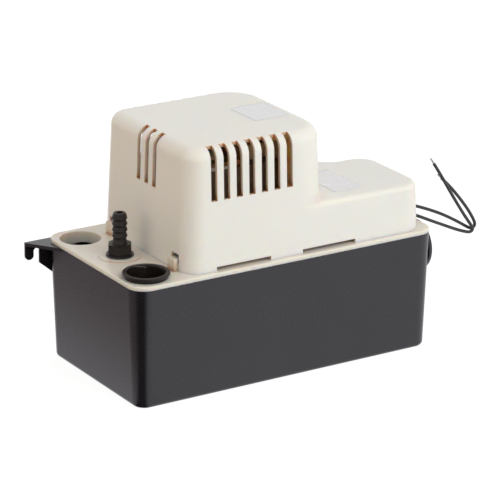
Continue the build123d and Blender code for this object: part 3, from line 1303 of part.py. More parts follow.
def lead_terminals():
    """A push-on terminal on two blades of the overflow switch, crimped round each lead."""
    terminals = []
    y = (SWITCH_YS[0] - BLADE_WIDTH / 2, SWITCH_YS[0] + BLADE_WIDTH / 2)
    x = (SWITCH_RIGHT + TERMINAL_SHEET, SWITCH_RIGHT + BLADE_LENGTH + TERMINAL_SHEET)
    for (lead_y, route, bare), i in zip(lead_routes(), (1, 0)):
        z = (blade_height(i) - BLADE_THICK / 2, blade_height(i) + BLADE_THICK / 2)
        sleeve = block(x, (y[0] - TERMINAL_SHEET, y[1] + TERMINAL_SHEET),
                       (z[0] - TERMINAL_SHEET, z[1] + TERMINAL_SHEET))
        gap = PRESS_GAP
        slot = block((x[0] - 1, SWITCH_RIGHT + BLADE_LENGTH + gap),
                     (y[0] - gap, y[1] + gap), (z[0] - gap, z[1] + gap))
        (x0, z0), (x1, z1) = route[:2]
        along = Vector(x1 - x0, 0, z1 - z0).normalized()
        start = Plane(origin=(x0, lead_y, z0), z_dir=along)
        barrel = extrude(start * Circle(LEAD_RADIUS + TERMINAL_SHEET), amount=TERMINAL_CRIMP)
        barrel += extrude(start * Circle(LEAD_RADIUS + TERMINAL_SHEET), amount=-2 * TERMINAL_SHEET)
        barrel -= extrude(start * Circle(LEAD_RADIUS + PRESS_GAP), amount=TERMINAL_CRIMP + 1)
        terminals.append(sleeve - slot + barrel)
    return Compound(terminals)


# ---------------------------------------------------------------- all pieces

front_plug = (-INLET_X, -INLET_Y, PLUG_GRIP_ANGLE)
rear_plug = (REAR_INLET_X, REAR_INLET_Y, 180 - PLUG_GRIP_ANGLE)

pieces = {
    "tank": tank(),
    "tank_deck": tank_deck(),
    "motor_cover": motor_cover(),
    "stator_core": stator_core(),
    "shading_rings": shading_rings(),
    "coil_bobbin": coil_bobbin(),
    "stator_coil": stator_coil(),
    "upper_bridge": upper_bridge(),
    "lower_bridge": lower_bridge(),
    "upper_bearing": bearing(HUB_TOP - BEARING_LENGTH),
    "lower_bearing": bearing(LOWER_BRIDGE - 2),
    "motor_bolts": motor_bolts(),
    "rotor": rotor(),
    "motor_shaft": motor_shaft(),
    "cooling_fan": cooling_fan(),
    "shaft_slinger": shaft_slinger(),
    "pump_column": pump_column(),
    "column_screws": column_screws(),
    "volute": volute(),
    "intake_plate": intake_plate(),
    "intake_screws": intake_screws(),
    "impeller": impeller(),
    "discharge_hose": discharge_hose(),
    "hose_clamps": hose_clamps(),
    "valve_seat": valve_seat(),
    "discharge_fitting": discharge_fitting(),
    "discharge_nut": discharge_nut(),
    "discharge_gasket": discharge_gasket(),
    "valve_ball": valve_ball(),
    "valve_spring": valve_spring(),
    "front_inlet_plug": inlet_plug(*front_plug),
    "rear_inlet_plug": inlet_plug(*rear_plug),
    "float_bracket": float_bracket(),
    "bracket_screws": bracket_screws(),
    "float_pin": float_pin(),
    "float_arm": float_arm(),
    "float_body": float_body(),
    "float_screw": float_screw(),
    "actuator_rod": actuator_rod(),
    "overflow_switch": switch_body(SWITCH_YS[0]),
    "run_switch": switch_body(SWITCH_YS[1]),
    "switch_blades": switch_blades(),
    "overflow_lever": switch_lever(SWITCH_YS[0]),
    "run_lever": switch_lever(SWITCH_YS[1]),
    "overflow_plunger": switch_plunger(SWITCH_YS[0]),
    "run_plunger": switch_plunger(SWITCH_YS[1]),
    "switch_stand": switch_stand(),
    "stand_screws": stand_screws(),
    "switch_screws": switch_screws(),
    "lead_grommet": lead_grommet(),
    "cord_gland": cord_gland(),
    "upper_lead": lead("upper_lead", UPPER_LEAD_Y, UPPER_LEAD_XZ),
    "lower_lead": lead("lower_lead", LOWER_LEAD_Y, LOWER_LEAD_XZ),
    "bare_ends": bare_ends(),
    "lead_terminals": lead_terminals(),
}

os.makedirs("parts", exist_ok=True)
for name, shape in pieces.items():
    export_step(shape, "parts/" + name + ".step")
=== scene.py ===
"""Looks of the condensate pump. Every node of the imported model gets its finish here, and the
leads, their strands, the winding and the two films are pieces of their own.
Metres, +Z up, the tank stands on z = 0 and its long front face looks to -Y."""
import math

import bmesh
import bpy
import numpy as np
from mathutils import Euler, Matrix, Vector


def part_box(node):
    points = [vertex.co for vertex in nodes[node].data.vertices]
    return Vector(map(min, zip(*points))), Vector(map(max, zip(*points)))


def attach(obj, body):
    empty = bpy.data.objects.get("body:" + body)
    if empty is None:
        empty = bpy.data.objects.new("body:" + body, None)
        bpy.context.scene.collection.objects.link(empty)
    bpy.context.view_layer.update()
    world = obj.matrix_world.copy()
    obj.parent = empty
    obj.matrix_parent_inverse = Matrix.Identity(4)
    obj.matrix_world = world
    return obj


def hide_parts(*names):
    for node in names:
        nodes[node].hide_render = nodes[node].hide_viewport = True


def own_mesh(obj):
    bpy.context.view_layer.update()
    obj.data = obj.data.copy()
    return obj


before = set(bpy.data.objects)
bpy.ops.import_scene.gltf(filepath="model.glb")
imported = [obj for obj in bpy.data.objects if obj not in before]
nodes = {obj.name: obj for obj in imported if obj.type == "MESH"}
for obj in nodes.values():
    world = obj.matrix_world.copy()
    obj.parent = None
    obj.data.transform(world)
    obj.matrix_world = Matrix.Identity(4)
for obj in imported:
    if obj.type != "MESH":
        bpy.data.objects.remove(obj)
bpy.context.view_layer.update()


# ---------------------------------------------------------------- camera
# A long lens from the front left and a little above, as the pump stands on a table.
# The aim is the middle of the pump at the height of the deck.

CAMERA_AZIMUTH = math.radians(-31.84)
CAMERA_ELEVATION = math.radians(19.39)
CAMERA_ROLL = math.radians(0.30)
CAMERA_DISTANCE = 2.1048
CAMERA_AIM = Vector((0.0, 0.0, 0.085))
CAMERA_LENS = 220.7
CAMERA_SHIFT = (0.0181, -0.0320)

camera_data = bpy.data.cameras.new("camera")
camera_data.lens = CAMERA_LENS
camera_data.sensor_width = 36.0
camera_data.shift_x, camera_data.shift_y = CAMERA_SHIFT
camera_data.clip_end = 20.0
camera = bpy.data.objects.new("camera", camera_data)
bpy.context.scene.collection.objects.link(camera)
camera_back = Vector((
    math.sin(CAMERA_AZIMUTH) * math.cos(CAMERA_ELEVATION),
    -math.cos(CAMERA_AZIMUTH) * math.cos(CAMERA_ELEVATION),
    math.sin(CAMERA_ELEVATION),
))
camera.location = CAMERA_AIM + camera_back * CAMERA_DISTANCE
camera_turn = camera_back.to_track_quat("Z", "Y").to_matrix()
camera_roll = Euler((0.0, 0.0, CAMERA_ROLL)).to_matrix()
camera.rotation_euler = (camera_turn @ camera_roll).to_euler()
bpy.context.scene.camera = camera
bpy.context.scene.view_settings.view_transform = "Standard"


# ---------------------------------------------------------------- alarm leads
# Two single leads, stranded wire in glossy black vinyl, crimped to the overflow switch's
# terminals. They leave through the rubber bush in the end wall and curl back up, stripped.

LEAD_RADIUS = 0.00115
UPPER_ROUTE = [
    (0.0774, -0.0346, 0.1071), (0.0996, -0.0346, 0.1023), (0.1210, -0.0346, 0.0945),
    (0.1330, -0.0346, 0.0896), (0.1450, -0.0346, 0.0839), (0.1576, -0.0346, 0.0765),
    (0.1648, -0.0346, 0.0718), (0.1693, -0.0346, 0.0691), (0.1722, -0.0346, 0.0695),
    (0.1734, -0.0346, 0.0721), (0.1709, -0.0346, 0.0771), (0.1659, -0.0346, 0.0849),
    (0.1583, -0.0346, 0.0946), (0.1500, -0.0346, 0.1042), (0.1432, -0.0346, 0.1108),
]
LOWER_ROUTE = [
    (0.0774, -0.0376, 0.1017), (0.0984, -0.0376, 0.0977), (0.1198, -0.0376, 0.0887),
    (0.1320, -0.0376, 0.0826), (0.1445, -0.0376, 0.0767), (0.1546, -0.0376, 0.0719),
    (0.1604, -0.0376, 0.0696), (0.1652, -0.0376, 0.0679), (0.1680, -0.0376, 0.0679),
    (0.1694, -0.0376, 0.0698), (0.1679, -0.0376, 0.0724), (0.1646, -0.0376, 0.0769),
    (0.1587, -0.0376, 0.0853), (0.1480, -0.0376, 0.1019), (0.1406, -0.0376, 0.1141),
    (0.1341, -0.0376, 0.1238),
]
STRAND_RADIUS = 0.0002
BUNDLE_RADIUS = 0.0004
STRAND_COUNT = 6
STRAND_LAY = 0.006
STRANDS_IN = 0.0006
UPPER_LENGTH, UPPER_BARE = 0.1548, 0.0047
LOWER_LENGTH, LOWER_BARE = 0.1638, 0.0054


def grain(tree, size, stretch=(1.0, 1.0, 1.0), detail=3.0):
    """Noise over Object coordinates whose patches are about size metres wide."""
    where = tree.nodes.new("ShaderNodeTexCoord")
    turn = tree.nodes.new("ShaderNodeMapping")
    turn.inputs["Scale"].default_value = [along / size for along in stretch]
    noise = tree.nodes.new("ShaderNodeTexNoise")
    noise.inputs["Scale"].default_value = 1.0
    noise.inputs["Detail"].default_value = detail
    tree.links.new(where.outputs["Object"], turn.inputs["Vector"])
    tree.links.new(turn.outputs["Vector"], noise.inputs["Vector"])
    return noise.outputs["Fac"]


def ranged(tree, value, low, high, start=0.3, end=0.7):
    """The value spread from start..end onto low..high."""
    spread = tree.nodes.new("ShaderNodeMapRange")
    ends = {"From Min": start, "From Max": end, "To Min": low, "To Max": high}
    for socket, number in ends.items():
        spread.inputs[socket].default_value = number
    tree.links.new(value, spread.inputs["Value"])
    return spread.outputs["Result"]


def mixed(tree, share, first, second):
    """The colour between two others; each is a colour or the socket that gives one."""
    mix = tree.nodes.new("ShaderNodeMix")
    mix.data_type = "RGBA"
    tree.links.new(share, mix.inputs["Factor"])
    for socket, colour in zip((mix.inputs[6], mix.inputs[7]), (first, second)):
        if isinstance(colour, tuple):
            socket.default_value = (*colour, 1.0)
        else:
            tree.links.new(colour, socket)
    return mix.outputs[2]


def raised(tree, shader, height, depth):
    """Relief of that depth in metres, on top of what relief the shader already has."""
    bump = tree.nodes.new("ShaderNodeBump")
    bump.inputs["Distance"].default_value = depth
    bump.inputs["Strength"].default_value = 1.0
    tree.links.new(height, bump.inputs["Height"])
    if shader.inputs["Normal"].is_linked:
        tree.links.new(shader.inputs["Normal"].links[0].from_socket, bump.inputs["Normal"])
    tree.links.new(bump.outputs["Normal"], shader.inputs["Normal"])


def surface(name, colours, patch, roughness, pore, depth, stretch=(1.0, 1.0, 1.0), **values):
    """A finish: two colours in soft patches, a range of roughness and fine relief of one depth.
    The other values go to the shader's sockets as they are, with underscores for blanks."""
    material = bpy.data.materials.new(name)
    material.use_nodes = True
    tree = material.node_tree
    shader = tree.nodes["Principled BSDF"]
    tone = mixed(tree, ranged(tree, grain(tree, patch, stretch), 0.0, 1.0), *colours)
    tree.links.new(tone, shader.inputs["Base Color"])
    gloss = ranged(tree, grain(tree, 2.5 * pore, stretch), *roughness)
    tree.links.new(gloss, shader.inputs["Roughness"])
    raised(tree, shader, grain(tree, pore, stretch, detail=2.0), depth)
    for socket, value in values.items():
        shader.inputs[socket.replace("_", " ")].default_value = value
    return material


def shell(rings, loop=False):
    """Points and faces through rings of points, each closed in itself: ring k joins ring k + 1,
    and the ends close with fans to their middles, or the last ring joins the first."""
    count, around = rings.shape[:2]
    index = np.arange(count * around).reshape(count, around)
    after = np.roll(index, -1, axis=0) if loop else index[1:]
    here = index if loop else index[:-1]
    quads = np.stack([here, np.roll(here, -1, 1), np.roll(after, -1, 1), after], axis=-1)
    points = rings.reshape(-1, 3)
    faces = quads.reshape(-1, 4).tolist()
    if not loop:
        middles = np.array([rings[0].mean(axis=0), rings[-1].mean(axis=0)])
        points = np.vstack([points, middles])
        for ring, middle in ((index[0], count * around), (index[-1], count * around + 1)):
            faces += [(int(a), int(b), middle) for a, b in zip(ring, np.roll(ring, -1))]
    return points, faces


def piece(name, shells, material, body="pump_frame"):
    """One smooth mesh object from several shells, with every face turned outwards."""
    points = np.vstack([p for p, f in shells])
    starts = np.cumsum([0] + [len(p) for p, f in shells[:-1]])
    faces = [[i + int(s) for i in face] for (p, f), s in zip(shells, starts) for face in f]
    mesh = bpy.data.meshes.new(name)
    mesh.from_pydata(points.tolist(), [], faces)
    turned = bmesh.new()
    turned.from_mesh(mesh)
    bmesh.ops.recalc_face_normals(turned, faces=turned.faces)
    turned.to_mesh(mesh)
    turned.free()
    mesh.shade_smooth()
    mesh.materials.append(material)
    made = bpy.data.objects.new(name, mesh)
    bpy.context.scene.collection.objects.link(made)
    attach(made, body)
    return made


def strand_ends(name, tip, along, length):
    """The stripped end: strands twisted round one another, each a tube of rings whose centre is
    tip + along * s + BUNDLE_RADIUS * (cos, sin) of 2 pi (s / STRAND_LAY + its share of a turn).
    They start STRANDS_IN inside the vinyl."""
    side = Vector((0.0, 1.0, 0.0))
    over = along.cross(side)
    s = np.linspace(-STRANDS_IN, length, 16)[:, None]
    angle = np.linspace(0, 2 * np.pi, 8, endpoint=False)[None, :]
    start, along, side, over = (np.array(v) for v in (tip, along, side, over))
    shells = []
    for i in range(STRAND_COUNT + 1):
        reach = BUNDLE_RADIUS if i else 0.0
        turn = 2 * np.pi * (s / STRAND_LAY + i / STRAND_COUNT)
        a = reach * np.cos(turn) + STRAND_RADIUS * np.cos(angle)
        b = reach * np.sin(turn) + STRAND_RADIUS * np.sin(angle)
        centre = start + s[..., None] * along
        shells.append(shell(centre + a[..., None] * side + b[..., None] * over))
    return piece(name, shells, tinned)


def lead(name, route, bare, node):
    """One lead on a smooth spline through its route's points, and its stripped end."""
    line = bpy.data.curves.new(name, "CURVE")
    line.dimensions = "3D"
    line.bevel_depth = LEAD_RADIUS
    line.bevel_resolution = 5
    line.resolution_u = 10
    line.use_fill_caps = True
    spline = line.splines.new("NURBS")
    spline.points.add(len(route) - 1)
    for point, place in zip(spline.points, route):
        point.co = (*place, 1.0)
    spline.order_u = 3
    spline.use_endpoint_u = True
    line.materials.append(vinyl)
    made = bpy.data.objects.new(name, line)
    bpy.context.scene.collection.objects.link(made)
    tip = Vector(route[-1])
    ends = strand_ends(name + "_strands", tip, (tip - Vector(route[-2])).normalized(), bare)
    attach(made, "pump_frame")
    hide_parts(node)
    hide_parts("bare_ends")


vinyl = surface("lead_vinyl", ((0.010, 0.010, 0.011), (0.022, 0.021, 0.022)), 0.004,
                (0.28, 0.42), 0.0006, 0.00001, Coat_Weight=0.15)
tinned = surface("tinned_strands", ((0.62, 0.60, 0.57), (0.42, 0.40, 0.37)), 0.0008,
                 (0.25, 0.45), 0.0002, 0.00001, Metallic=1.0)
lead("upper_lead_cord", UPPER_ROUTE, UPPER_BARE, "upper_lead")
lead("lower_lead_cord", LOWER_ROUTE, LOWER_BARE, "lower_lead")


# ---------------------------------------------------------------- floor and light
# A plain white table under soft, even light: white to the camera, with a faint contact shadow.
# The world, a large lamp and a weak warm one light the pump. Off the left end the table carries
# painted warm light: diffuse rays find it warm, so it throws warm light onto the pump's left end,
# and gloss finds it dim and warm, a painted darker reflection there. Off the front left corner
# gloss alone sees a dark card, a painted dark reflection. The camera sees the table white.

WORLD_LEVEL = 0.59
WORLD_COLOUR = (1.0, 0.995, 0.985)
KEY_WATTS = 26.0
FILL_WATTS = 6.0
FILL_COLOUR = (1.0, 0.72, 0.46)
KEY_PLACE = Vector((0.75, -1.7, 1.35))
FILL_PLACE = Vector((-2.0, 0.3, 0.8))
LAMP_SIDE = 1.6
FLOOR_HALF = 3
FLOOR_GLOW = 0.90
SHADOW_PAINT = (0.22, 0.22, 0.22)
# painted warm light: the table's colour off the left end for diffuse rays, bounced onto the pump
PAINTED_WARM_BOUNCE = (0.74, 0.62, 0.50)
WHITE_PAINT = (0.85, 0.85, 0.85)
# painted reflection: gloss sees the table's left end dim and warm
PAINTED_WARM_REFLECTION = (0.40, 0.33, 0.34)
WHITE_GLOSS = (1.0, 0.99, 1.04)
# painted reflection: the dark card that gloss alone sees off the front left corner
PAINTED_DARK_REFLECTION = (0.035, 0.028, 0.028)
PAINTED_WARM_EDGES = (-0.20, -0.09)
DARK_REFLECTION_CORNER = (-0.106, -0.051, 0.0)
DARK_REFLECTION_WAY = (-0.74, -0.67, 0.0)
DARK_REFLECTION_EDGES = (0.78, 0.93)


def any_ray(tree, *kinds):
    """1 where the ray is of one of these kinds, such as Camera or Glossy."""
    ray = tree.nodes.new("ShaderNodeLightPath")
    total = ray.outputs["Is " + kinds[0] + " Ray"]
    for kind in kinds[1:]:
        larger = tree.nodes.new("ShaderNodeMath")
        larger.operation = "MAXIMUM"
        tree.links.new(total, larger.inputs[0])
        tree.links.new(ray.outputs["Is " + kind + " Ray"], larger.inputs[1])
        total = larger.outputs[0]
    return total


world = bpy.data.worlds.new("studio")
bpy.context.scene.world = world
world.use_nodes = True
tree = world.node_tree
tree.nodes.clear()
soft = tree.nodes.new("ShaderNodeBackground")
soft.inputs["Color"].default_value = (*WORLD_COLOUR, 1.0)
soft.inputs["Strength"].default_value = WORLD_LEVEL
white = tree.nodes.new("ShaderNodeBackground")
white.inputs["Strength"].default_value = 1.0
white.inputs["Color"].default_value = (1.0, 1.0, 1.0, 1.0)
seen = tree.nodes.new("ShaderNodeMixShader")
out = tree.nodes.new("ShaderNodeOutputWorld")
tree.links.new(any_ray(tree, "Camera", "Glossy", "Transmission"), seen.inputs["Fac"])
tree.links.new(soft.outputs[0], seen.inputs[1])
tree.links.new(white.outputs[0], seen.inputs[2])
tree.links.new(seen.outputs[0], out.inputs["Surface"])

floor_mesh = bpy.data.meshes.new("floor")
corners = [(x * FLOOR_HALF, y * FLOOR_HALF, 0) for x, y in ((-1, -1), (1, -1), (1, 1), (-1, 1))]
floor_mesh.from_pydata(corners, [], [(0, 1, 2, 3)])
floor = bpy.data.objects.new("floor", floor_mesh)
bpy.context.scene.collection.objects.link(floor)
floor_paint = bpy.data.materials.new("floor_paint")
floor_paint.use_nodes = True
floor_mesh.materials.append(floor_paint)
tree = floor_paint.node_tree
tree.nodes.clear()
where = tree.nodes.new("ShaderNodeTexCoord")
axes = tree.nodes.new("ShaderNodeSeparateXYZ")
tree.links.new(where.outputs["Object"], axes.inputs["Vector"])
# painted warm light: the share of warm bounce paint and dim warm reflection, towards the left end
painted_warm_share = ranged(tree, axes.outputs["X"], 1.0, 0.0, *PAINTED_WARM_EDGES)
paint = tree.nodes.new("ShaderNodeBsdfDiffuse")
tree.links.new(mixed(tree, painted_warm_share, WHITE_PAINT, PAINTED_WARM_BOUNCE), paint.inputs["Color"])
faint = tree.nodes.new("ShaderNodeBsdfDiffuse")
faint.inputs["Color"].default_value = (*SHADOW_PAINT, 1.0)
glow = tree.nodes.new("ShaderNodeEmission")
glow.inputs["Strength"].default_value = FLOOR_GLOW
both = tree.nodes.new("ShaderNodeAddShader")
away = tree.nodes.new("ShaderNodeVectorMath")
away.operation = "SUBTRACT"
away.inputs[1].default_value = DARK_REFLECTION_CORNER
unit = tree.nodes.new("ShaderNodeVectorMath")
unit.operation = "NORMALIZE"
facing = tree.nodes.new("ShaderNodeVectorMath")
facing.operation = "DOT_PRODUCT"
facing.inputs[1].default_value = DARK_REFLECTION_WAY
tree.links.new(where.outputs["Object"], away.inputs[0])
tree.links.new(away.outputs[0], unit.inputs[0])
tree.links.new(unit.outputs[0], facing.inputs[0])
sheen = tree.nodes.new("ShaderNodeEmission")
# painted dark reflection: the share of the dark card in what gloss sees of the table
dark_reflection_share = ranged(tree, facing.outputs["Value"], 0.0, 1.0, *DARK_REFLECTION_EDGES)
plain = mixed(tree, painted_warm_share, WHITE_GLOSS, PAINTED_WARM_REFLECTION)
tree.links.new(mixed(tree, dark_reflection_share, plain, PAINTED_DARK_REFLECTION), sheen.inputs["Color"])
seen = tree.nodes.new("ShaderNodeMixShader")
mirrored = tree.nodes.new("ShaderNodeMixShader")
out = tree.nodes.new("ShaderNodeOutputMaterial")
tree.links.new(faint.outputs[0], both.inputs[0])
tree.links.new(glow.outputs[0], both.inputs[1])
tree.links.new(any_ray(tree, "Camera", "Transmission"), seen.inputs["Fac"])
tree.links.new(paint.outputs[0], seen.inputs[1])
tree.links.new(both.outputs[0], seen.inputs[2])
tree.links.new(any_ray(tree, "Glossy"), mirrored.inputs["Fac"])
tree.links.new(seen.outputs[0], mirrored.inputs[1])
tree.links.new(sheen.outputs[0], mirrored.inputs[2])
tree.links.new(mirrored.outputs[0], out.inputs["Surface"])


def lamp(name, watts, colour, place):
    """A square soft lamp that faces the pump. Gloss sees the white studio in its place."""
    light = bpy.data.lights.new(name, "AREA")
    light.energy = watts
    light.color = colour
    light.size = LAMP_SIDE
    hung = bpy.data.objects.new(name, light)
    hung.location = place
    hung.rotation_euler = (place - CAMERA_AIM).to_track_quat("Z", "Y").to_euler()
    hung.visible_glossy = False
    bpy.context.scene.collection.objects.link(hung)


lamp("key", KEY_WATTS, (1.0, 1.0, 1.0), KEY_PLACE)
lamp("warm_fill", FILL_WATTS, FILL_COLOUR, FILL_PLACE)


# ---------------------------------------------------------------- tank
# The sump is one deep tub with its wall hooks and blind boss, injection moulded in a tough
# black plastic. Its skin has a fine spark texture and faint upright lines from the draw.

DRAW_LINE = 0.004
DRAW_STRETCH = (1.0, 1.0, 0.06)
DRAW_DEPTH = 0.00001


def wear(material, *names):
    """Gives each of the named nodes the one material."""
    for name in names:
        nodes[name].data.materials.clear()
        nodes[name].data.materials.append(material)


tank_skin = surface("tank_plastic", ((0.0100, 0.0090, 0.0120), (0.0070, 0.0060, 0.0085)), 0.05,
                    (0.24, 0.32), 0.0008, 0.000012, Specular_IOR_Level=0.62)
tree = tank_skin.node_tree
raised(tree, tree.nodes["Principled BSDF"],
       grain(tree, DRAW_LINE, DRAW_STRETCH, detail=1.0), DRAW_DEPTH)
wear(tank_skin, "tank")


# ---------------------------------------------------------------- deck and motor cover
# The lid and the vented cover are moulded in a cream plastic that lets a little light through.
# Narrow places such as slots and inlets carry painted shade: dark tan where the part's own walls
# stand close round. The lid is a shade warmer. The cover clips on.

CREAM = (0.925, 0.822, 0.748)
CREAM_SHADE = (0.912, 0.803, 0.726)
DECK_CREAM = (0.800, 0.715, 0.630)
DECK_SHADE = (0.785, 0.697, 0.608)
PAINTED_SHADE_TAN = (0.48, 0.235, 0.085)
GLOW_RADIUS = (1.0, 0.50, 0.22)
SINK_SIZE = 0.02
SINK_DEPTH = 0.00004
SLOT_REACH = 0.0055
SLOT_EDGES = (0.68, 0.94)
INLET_REACH = 0.022
INLET_EDGES = (0.42, 0.78)


def cream_plastic(name, colours, reach, edges):
    """The cream plastic with painted shade, dark tan where its own walls stand round it within
    reach:
    the share of open room goes from all painted tan at edges[0] to none at edges[1]."""
    cream = surface(name, colours, 0.06, (0.28, 0.38), 0.0007, 0.000012,
                    Subsurface_Weight=0.55, Subsurface_Radius=GLOW_RADIUS,
                    Subsurface_Scale=0.010)
    tree = cream.node_tree
    shader = tree.nodes["Principled BSDF"]
    raised(tree, shader, grain(tree, SINK_SIZE, detail=1.0), SINK_DEPTH)
    # painted shade: ambient occlusion turns the colour dark tan in slots, inlets and creases
    hollow = tree.nodes.new("ShaderNodeAmbientOcclusion")
    hollow.only_local = True
    hollow.samples = 8
    hollow.inputs["Distance"].default_value = reach
    painted_shade = ranged(tree, hollow.outputs["AO"], 1.0, 0.0, *edges)
    tone = shader.inputs["Base Color"].links[0].from_socket
    tree.links.new(mixed(tree, painted_shade, tone, PAINTED_SHADE_TAN), shader.inputs["Base Color"])
    return cream


wear(cream_plastic("cream_cover", (CREAM, CREAM_SHADE), SLOT_REACH, SLOT_EDGES), "motor_cover")
wear(cream_plastic("cream_deck", (DECK_CREAM, DECK_SHADE), INLET_REACH, INLET_EDGES), "tank_deck")


# ---------------------------------------------------------------- films on the cover
# Two thin adhesive films with rounded corners, one on the tall roof and one on the low roof.
# Both are blank satin polyester in two close shades of pale grey.

FILM_THICK = 0.00012
FILM_CORNER = 0.0015
LOW_ROOF = 0.1199
ROOF_PLACE = ((-0.001, 0.0265), (-0.0190, 0.0140))
LOW_ROOF_PLACE = ((0.0475, 0.0700), (-0.0440, -0.0010))


def film(name, x, y, z):
    """A rounded rectangle in rings from its middle out and back under: ring k is the outline
    times a share, at the film's height on top and at the roof's height underneath."""
    quarter = np.linspace(0, np.pi / 2, 7)
    angle = np.concatenate([quarter + i * np.pi / 2 for i in range(4)])
    corner = np.repeat(np.array([(1, 1), (-1, 1), (-1, -1), (1, -1)]), 7, axis=0)
    half = np.array([x[1] - x[0], y[1] - y[0]]) / 2
    outline = corner * (half - FILM_CORNER)
    outline = outline + FILM_CORNER * np.stack([np.cos(angle), np.sin(angle)], axis=1)
    shares = np.array([0.05, 0.5, 0.94, 0.999, 1.0, 0.999, 0.5, 0.05])
    heights = z + FILM_THICK * np.array([1, 1, 1, 1, 0.5, 0, 0, 0])
    middle = np.array([sum(x) / 2, sum(y) / 2])
    rings = np.empty((len(shares), len(outline), 3))
    rings[..., :2] = middle + shares[:, None, None] * outline
    rings[..., 2] = heights[:, None]
    return piece(name, [shell(rings)], satin)


satin = surface("satin_film", ((0.75, 0.75, 0.765), (0.72, 0.72, 0.735)), 0.012,
                (0.22, 0.30), 0.004, 0.000004, Coat_Weight=0.3)
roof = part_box("motor_cover")[1].z
film("roof_film", *ROOF_PLACE, roof)
film("low_roof_film", *LOW_ROOF_PLACE, LOW_ROOF)


# ---------------------------------------------------------------- discharge and inlet plugs
# The check valve's barbed fitting, the two inlet stoppers and the cord gland are moulded in a
# brown-black nylon with a soft gloss. The valve's nut and its seat are the same nylon, duller.

gloss = surface("dark_nylon", ((0.0125, 0.0095, 0.0085), (0.0180, 0.0140, 0.0125)), 0.009,
                (0.26, 0.40), 0.0005, 0.00002, Specular_IOR_Level=0.28)
wear(gloss, "discharge_fitting", "front_inlet_plug", "rear_inlet_plug", "cord_gland")

dull = surface("dull_nylon", ((0.016, 0.016, 0.017), (0.024, 0.024, 0.026)), 0.012,
               (0.45, 0.62), 0.0006, 0.00003)
wear(dull, "discharge_nut", "valve_seat")


# ---------------------------------------------------------------- riser hose
# Soft clear vinyl hose, a little yellowed and cloudy, pushed on both spigots. A spring band
# of zinc plated steel grips it at each end.

clear_vinyl = surface("clear_vinyl", ((0.74, 0.75, 0.68), (0.66, 0.68, 0.60)), 0.015,
                      (0.18, 0.34), 0.0012, 0.00002, Transmission_Weight=0.55, IOR=1.45)
wear(clear_vinyl, "discharge_hose")

zinc = surface("zinc_plate", ((0.58, 0.59, 0.60), (0.45, 0.45, 0.44)), 0.005, (0.28, 0.48),
               0.0007, 0.000008, Metallic=1.0)
wear(zinc, "hose_clamps", "upper_bridge", "lower_bridge", "switch_stand",
     "overflow_lever", "run_lever")


# ---------------------------------------------------------------- screws, bolts and shaft
# Bright steel: turned and rolled parts with a very fine grain round and along them, and the
# valve's ball in stainless. The push-on terminals are tinned brass.

bright = surface("bright_steel", ((0.66, 0.66, 0.66), (0.50, 0.50, 0.50)), 0.003, (0.18, 0.36),
                 0.0003, 0.000004, stretch=(1.0, 1.0, 0.25), Metallic=1.0)
wear(bright, "motor_shaft", "motor_bolts", "column_screws", "intake_screws", "bracket_screws",
     "float_pin", "float_screw", "stand_screws", "switch_screws", "valve_ball")
wear(tinned, "lead_terminals")


# ---------------------------------------------------------------- check valve spring
# A light coil of stainless wire between the ball and the roof of the valve's chamber. In the
# valve its top stays on the roof and it shortens as the flow lifts the ball; here it is one fixed
# coil.

SPRING_RADIUS = 0.0025
SPRING_WIRE = 0.0003
SPRING_TURNS = 4.5


def coil():
    """Rings round the wire: ring k is a circle of SPRING_WIRE across the helix
    (R cos a, R sin a, rise a), with a from 0 to 2 pi SPRING_TURNS."""
    low, high = (np.array(corner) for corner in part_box("valve_spring"))
    base = (low + high) / 2 * (1, 1, 0) + (0, 0, low[2] + SPRING_WIRE)
    rise = (high[2] - low[2] - 2 * SPRING_WIRE) / (2 * np.pi * SPRING_TURNS)
    a = np.linspace(0, 2 * np.pi * SPRING_TURNS, 150)
    flat = np.zeros_like(a)
    out = np.stack([np.cos(a), np.sin(a), flat], axis=1)
    along = np.stack([-SPRING_RADIUS * np.sin(a), SPRING_RADIUS * np.cos(a), flat + rise], axis=1)
    across = np.cross(along / np.linalg.norm(along, axis=1)[:, None], out)
    centre = base + SPRING_RADIUS * out + np.stack([flat, flat, rise * a], axis=1)
    turn = np.linspace(0, 2 * np.pi, 10, endpoint=False)[None, :, None]
    ring = np.cos(turn) * out[:, None] + np.sin(turn) * across[:, None]
    return shell(centre[:, None] + SPRING_WIRE * ring)


spring = piece("valve_coil", [coil()], bright)
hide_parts("valve_spring")
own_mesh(spring)


# ---------------------------------------------------------------- stator and rotor
# Both cores are stacks of thin steel sheets under brown varnish: their edges show as fine
# level lines. Two bare copper loops shade the poles.

SHEET_PITCH = 0.0005
SHEET_RELIEF = 0.00003
VARNISH_BROWN = (0.035, 0.022, 0.014)


def stacked(name, colours, roughness):
    """A core's finish: the lines between its sheets are dark bands SHEET_PITCH apart in Z."""
    material = surface(name, colours, 0.006, roughness, 0.0006, 0.00001, Metallic=0.55)
    tree = material.node_tree
    shader = tree.nodes["Principled BSDF"]
    where = tree.nodes.new("ShaderNodeTexCoord")
    bands = tree.nodes.new("ShaderNodeTexWave")
    bands.bands_direction = "Z"
    bands.inputs["Scale"].default_value = 2 * math.pi / (20 * SHEET_PITCH)
    tree.links.new(where.outputs["Object"], bands.inputs["Vector"])
    tone = shader.inputs["Base Color"].links[0].from_socket
    line = ranged(tree, bands.outputs["Fac"], 1.0, 0.0, 0.05, 0.45)
    tree.links.new(mixed(tree, line, tone, VARNISH_BROWN), shader.inputs["Base Color"])
    raised(tree, shader, bands.outputs["Fac"], SHEET_RELIEF)
    return material


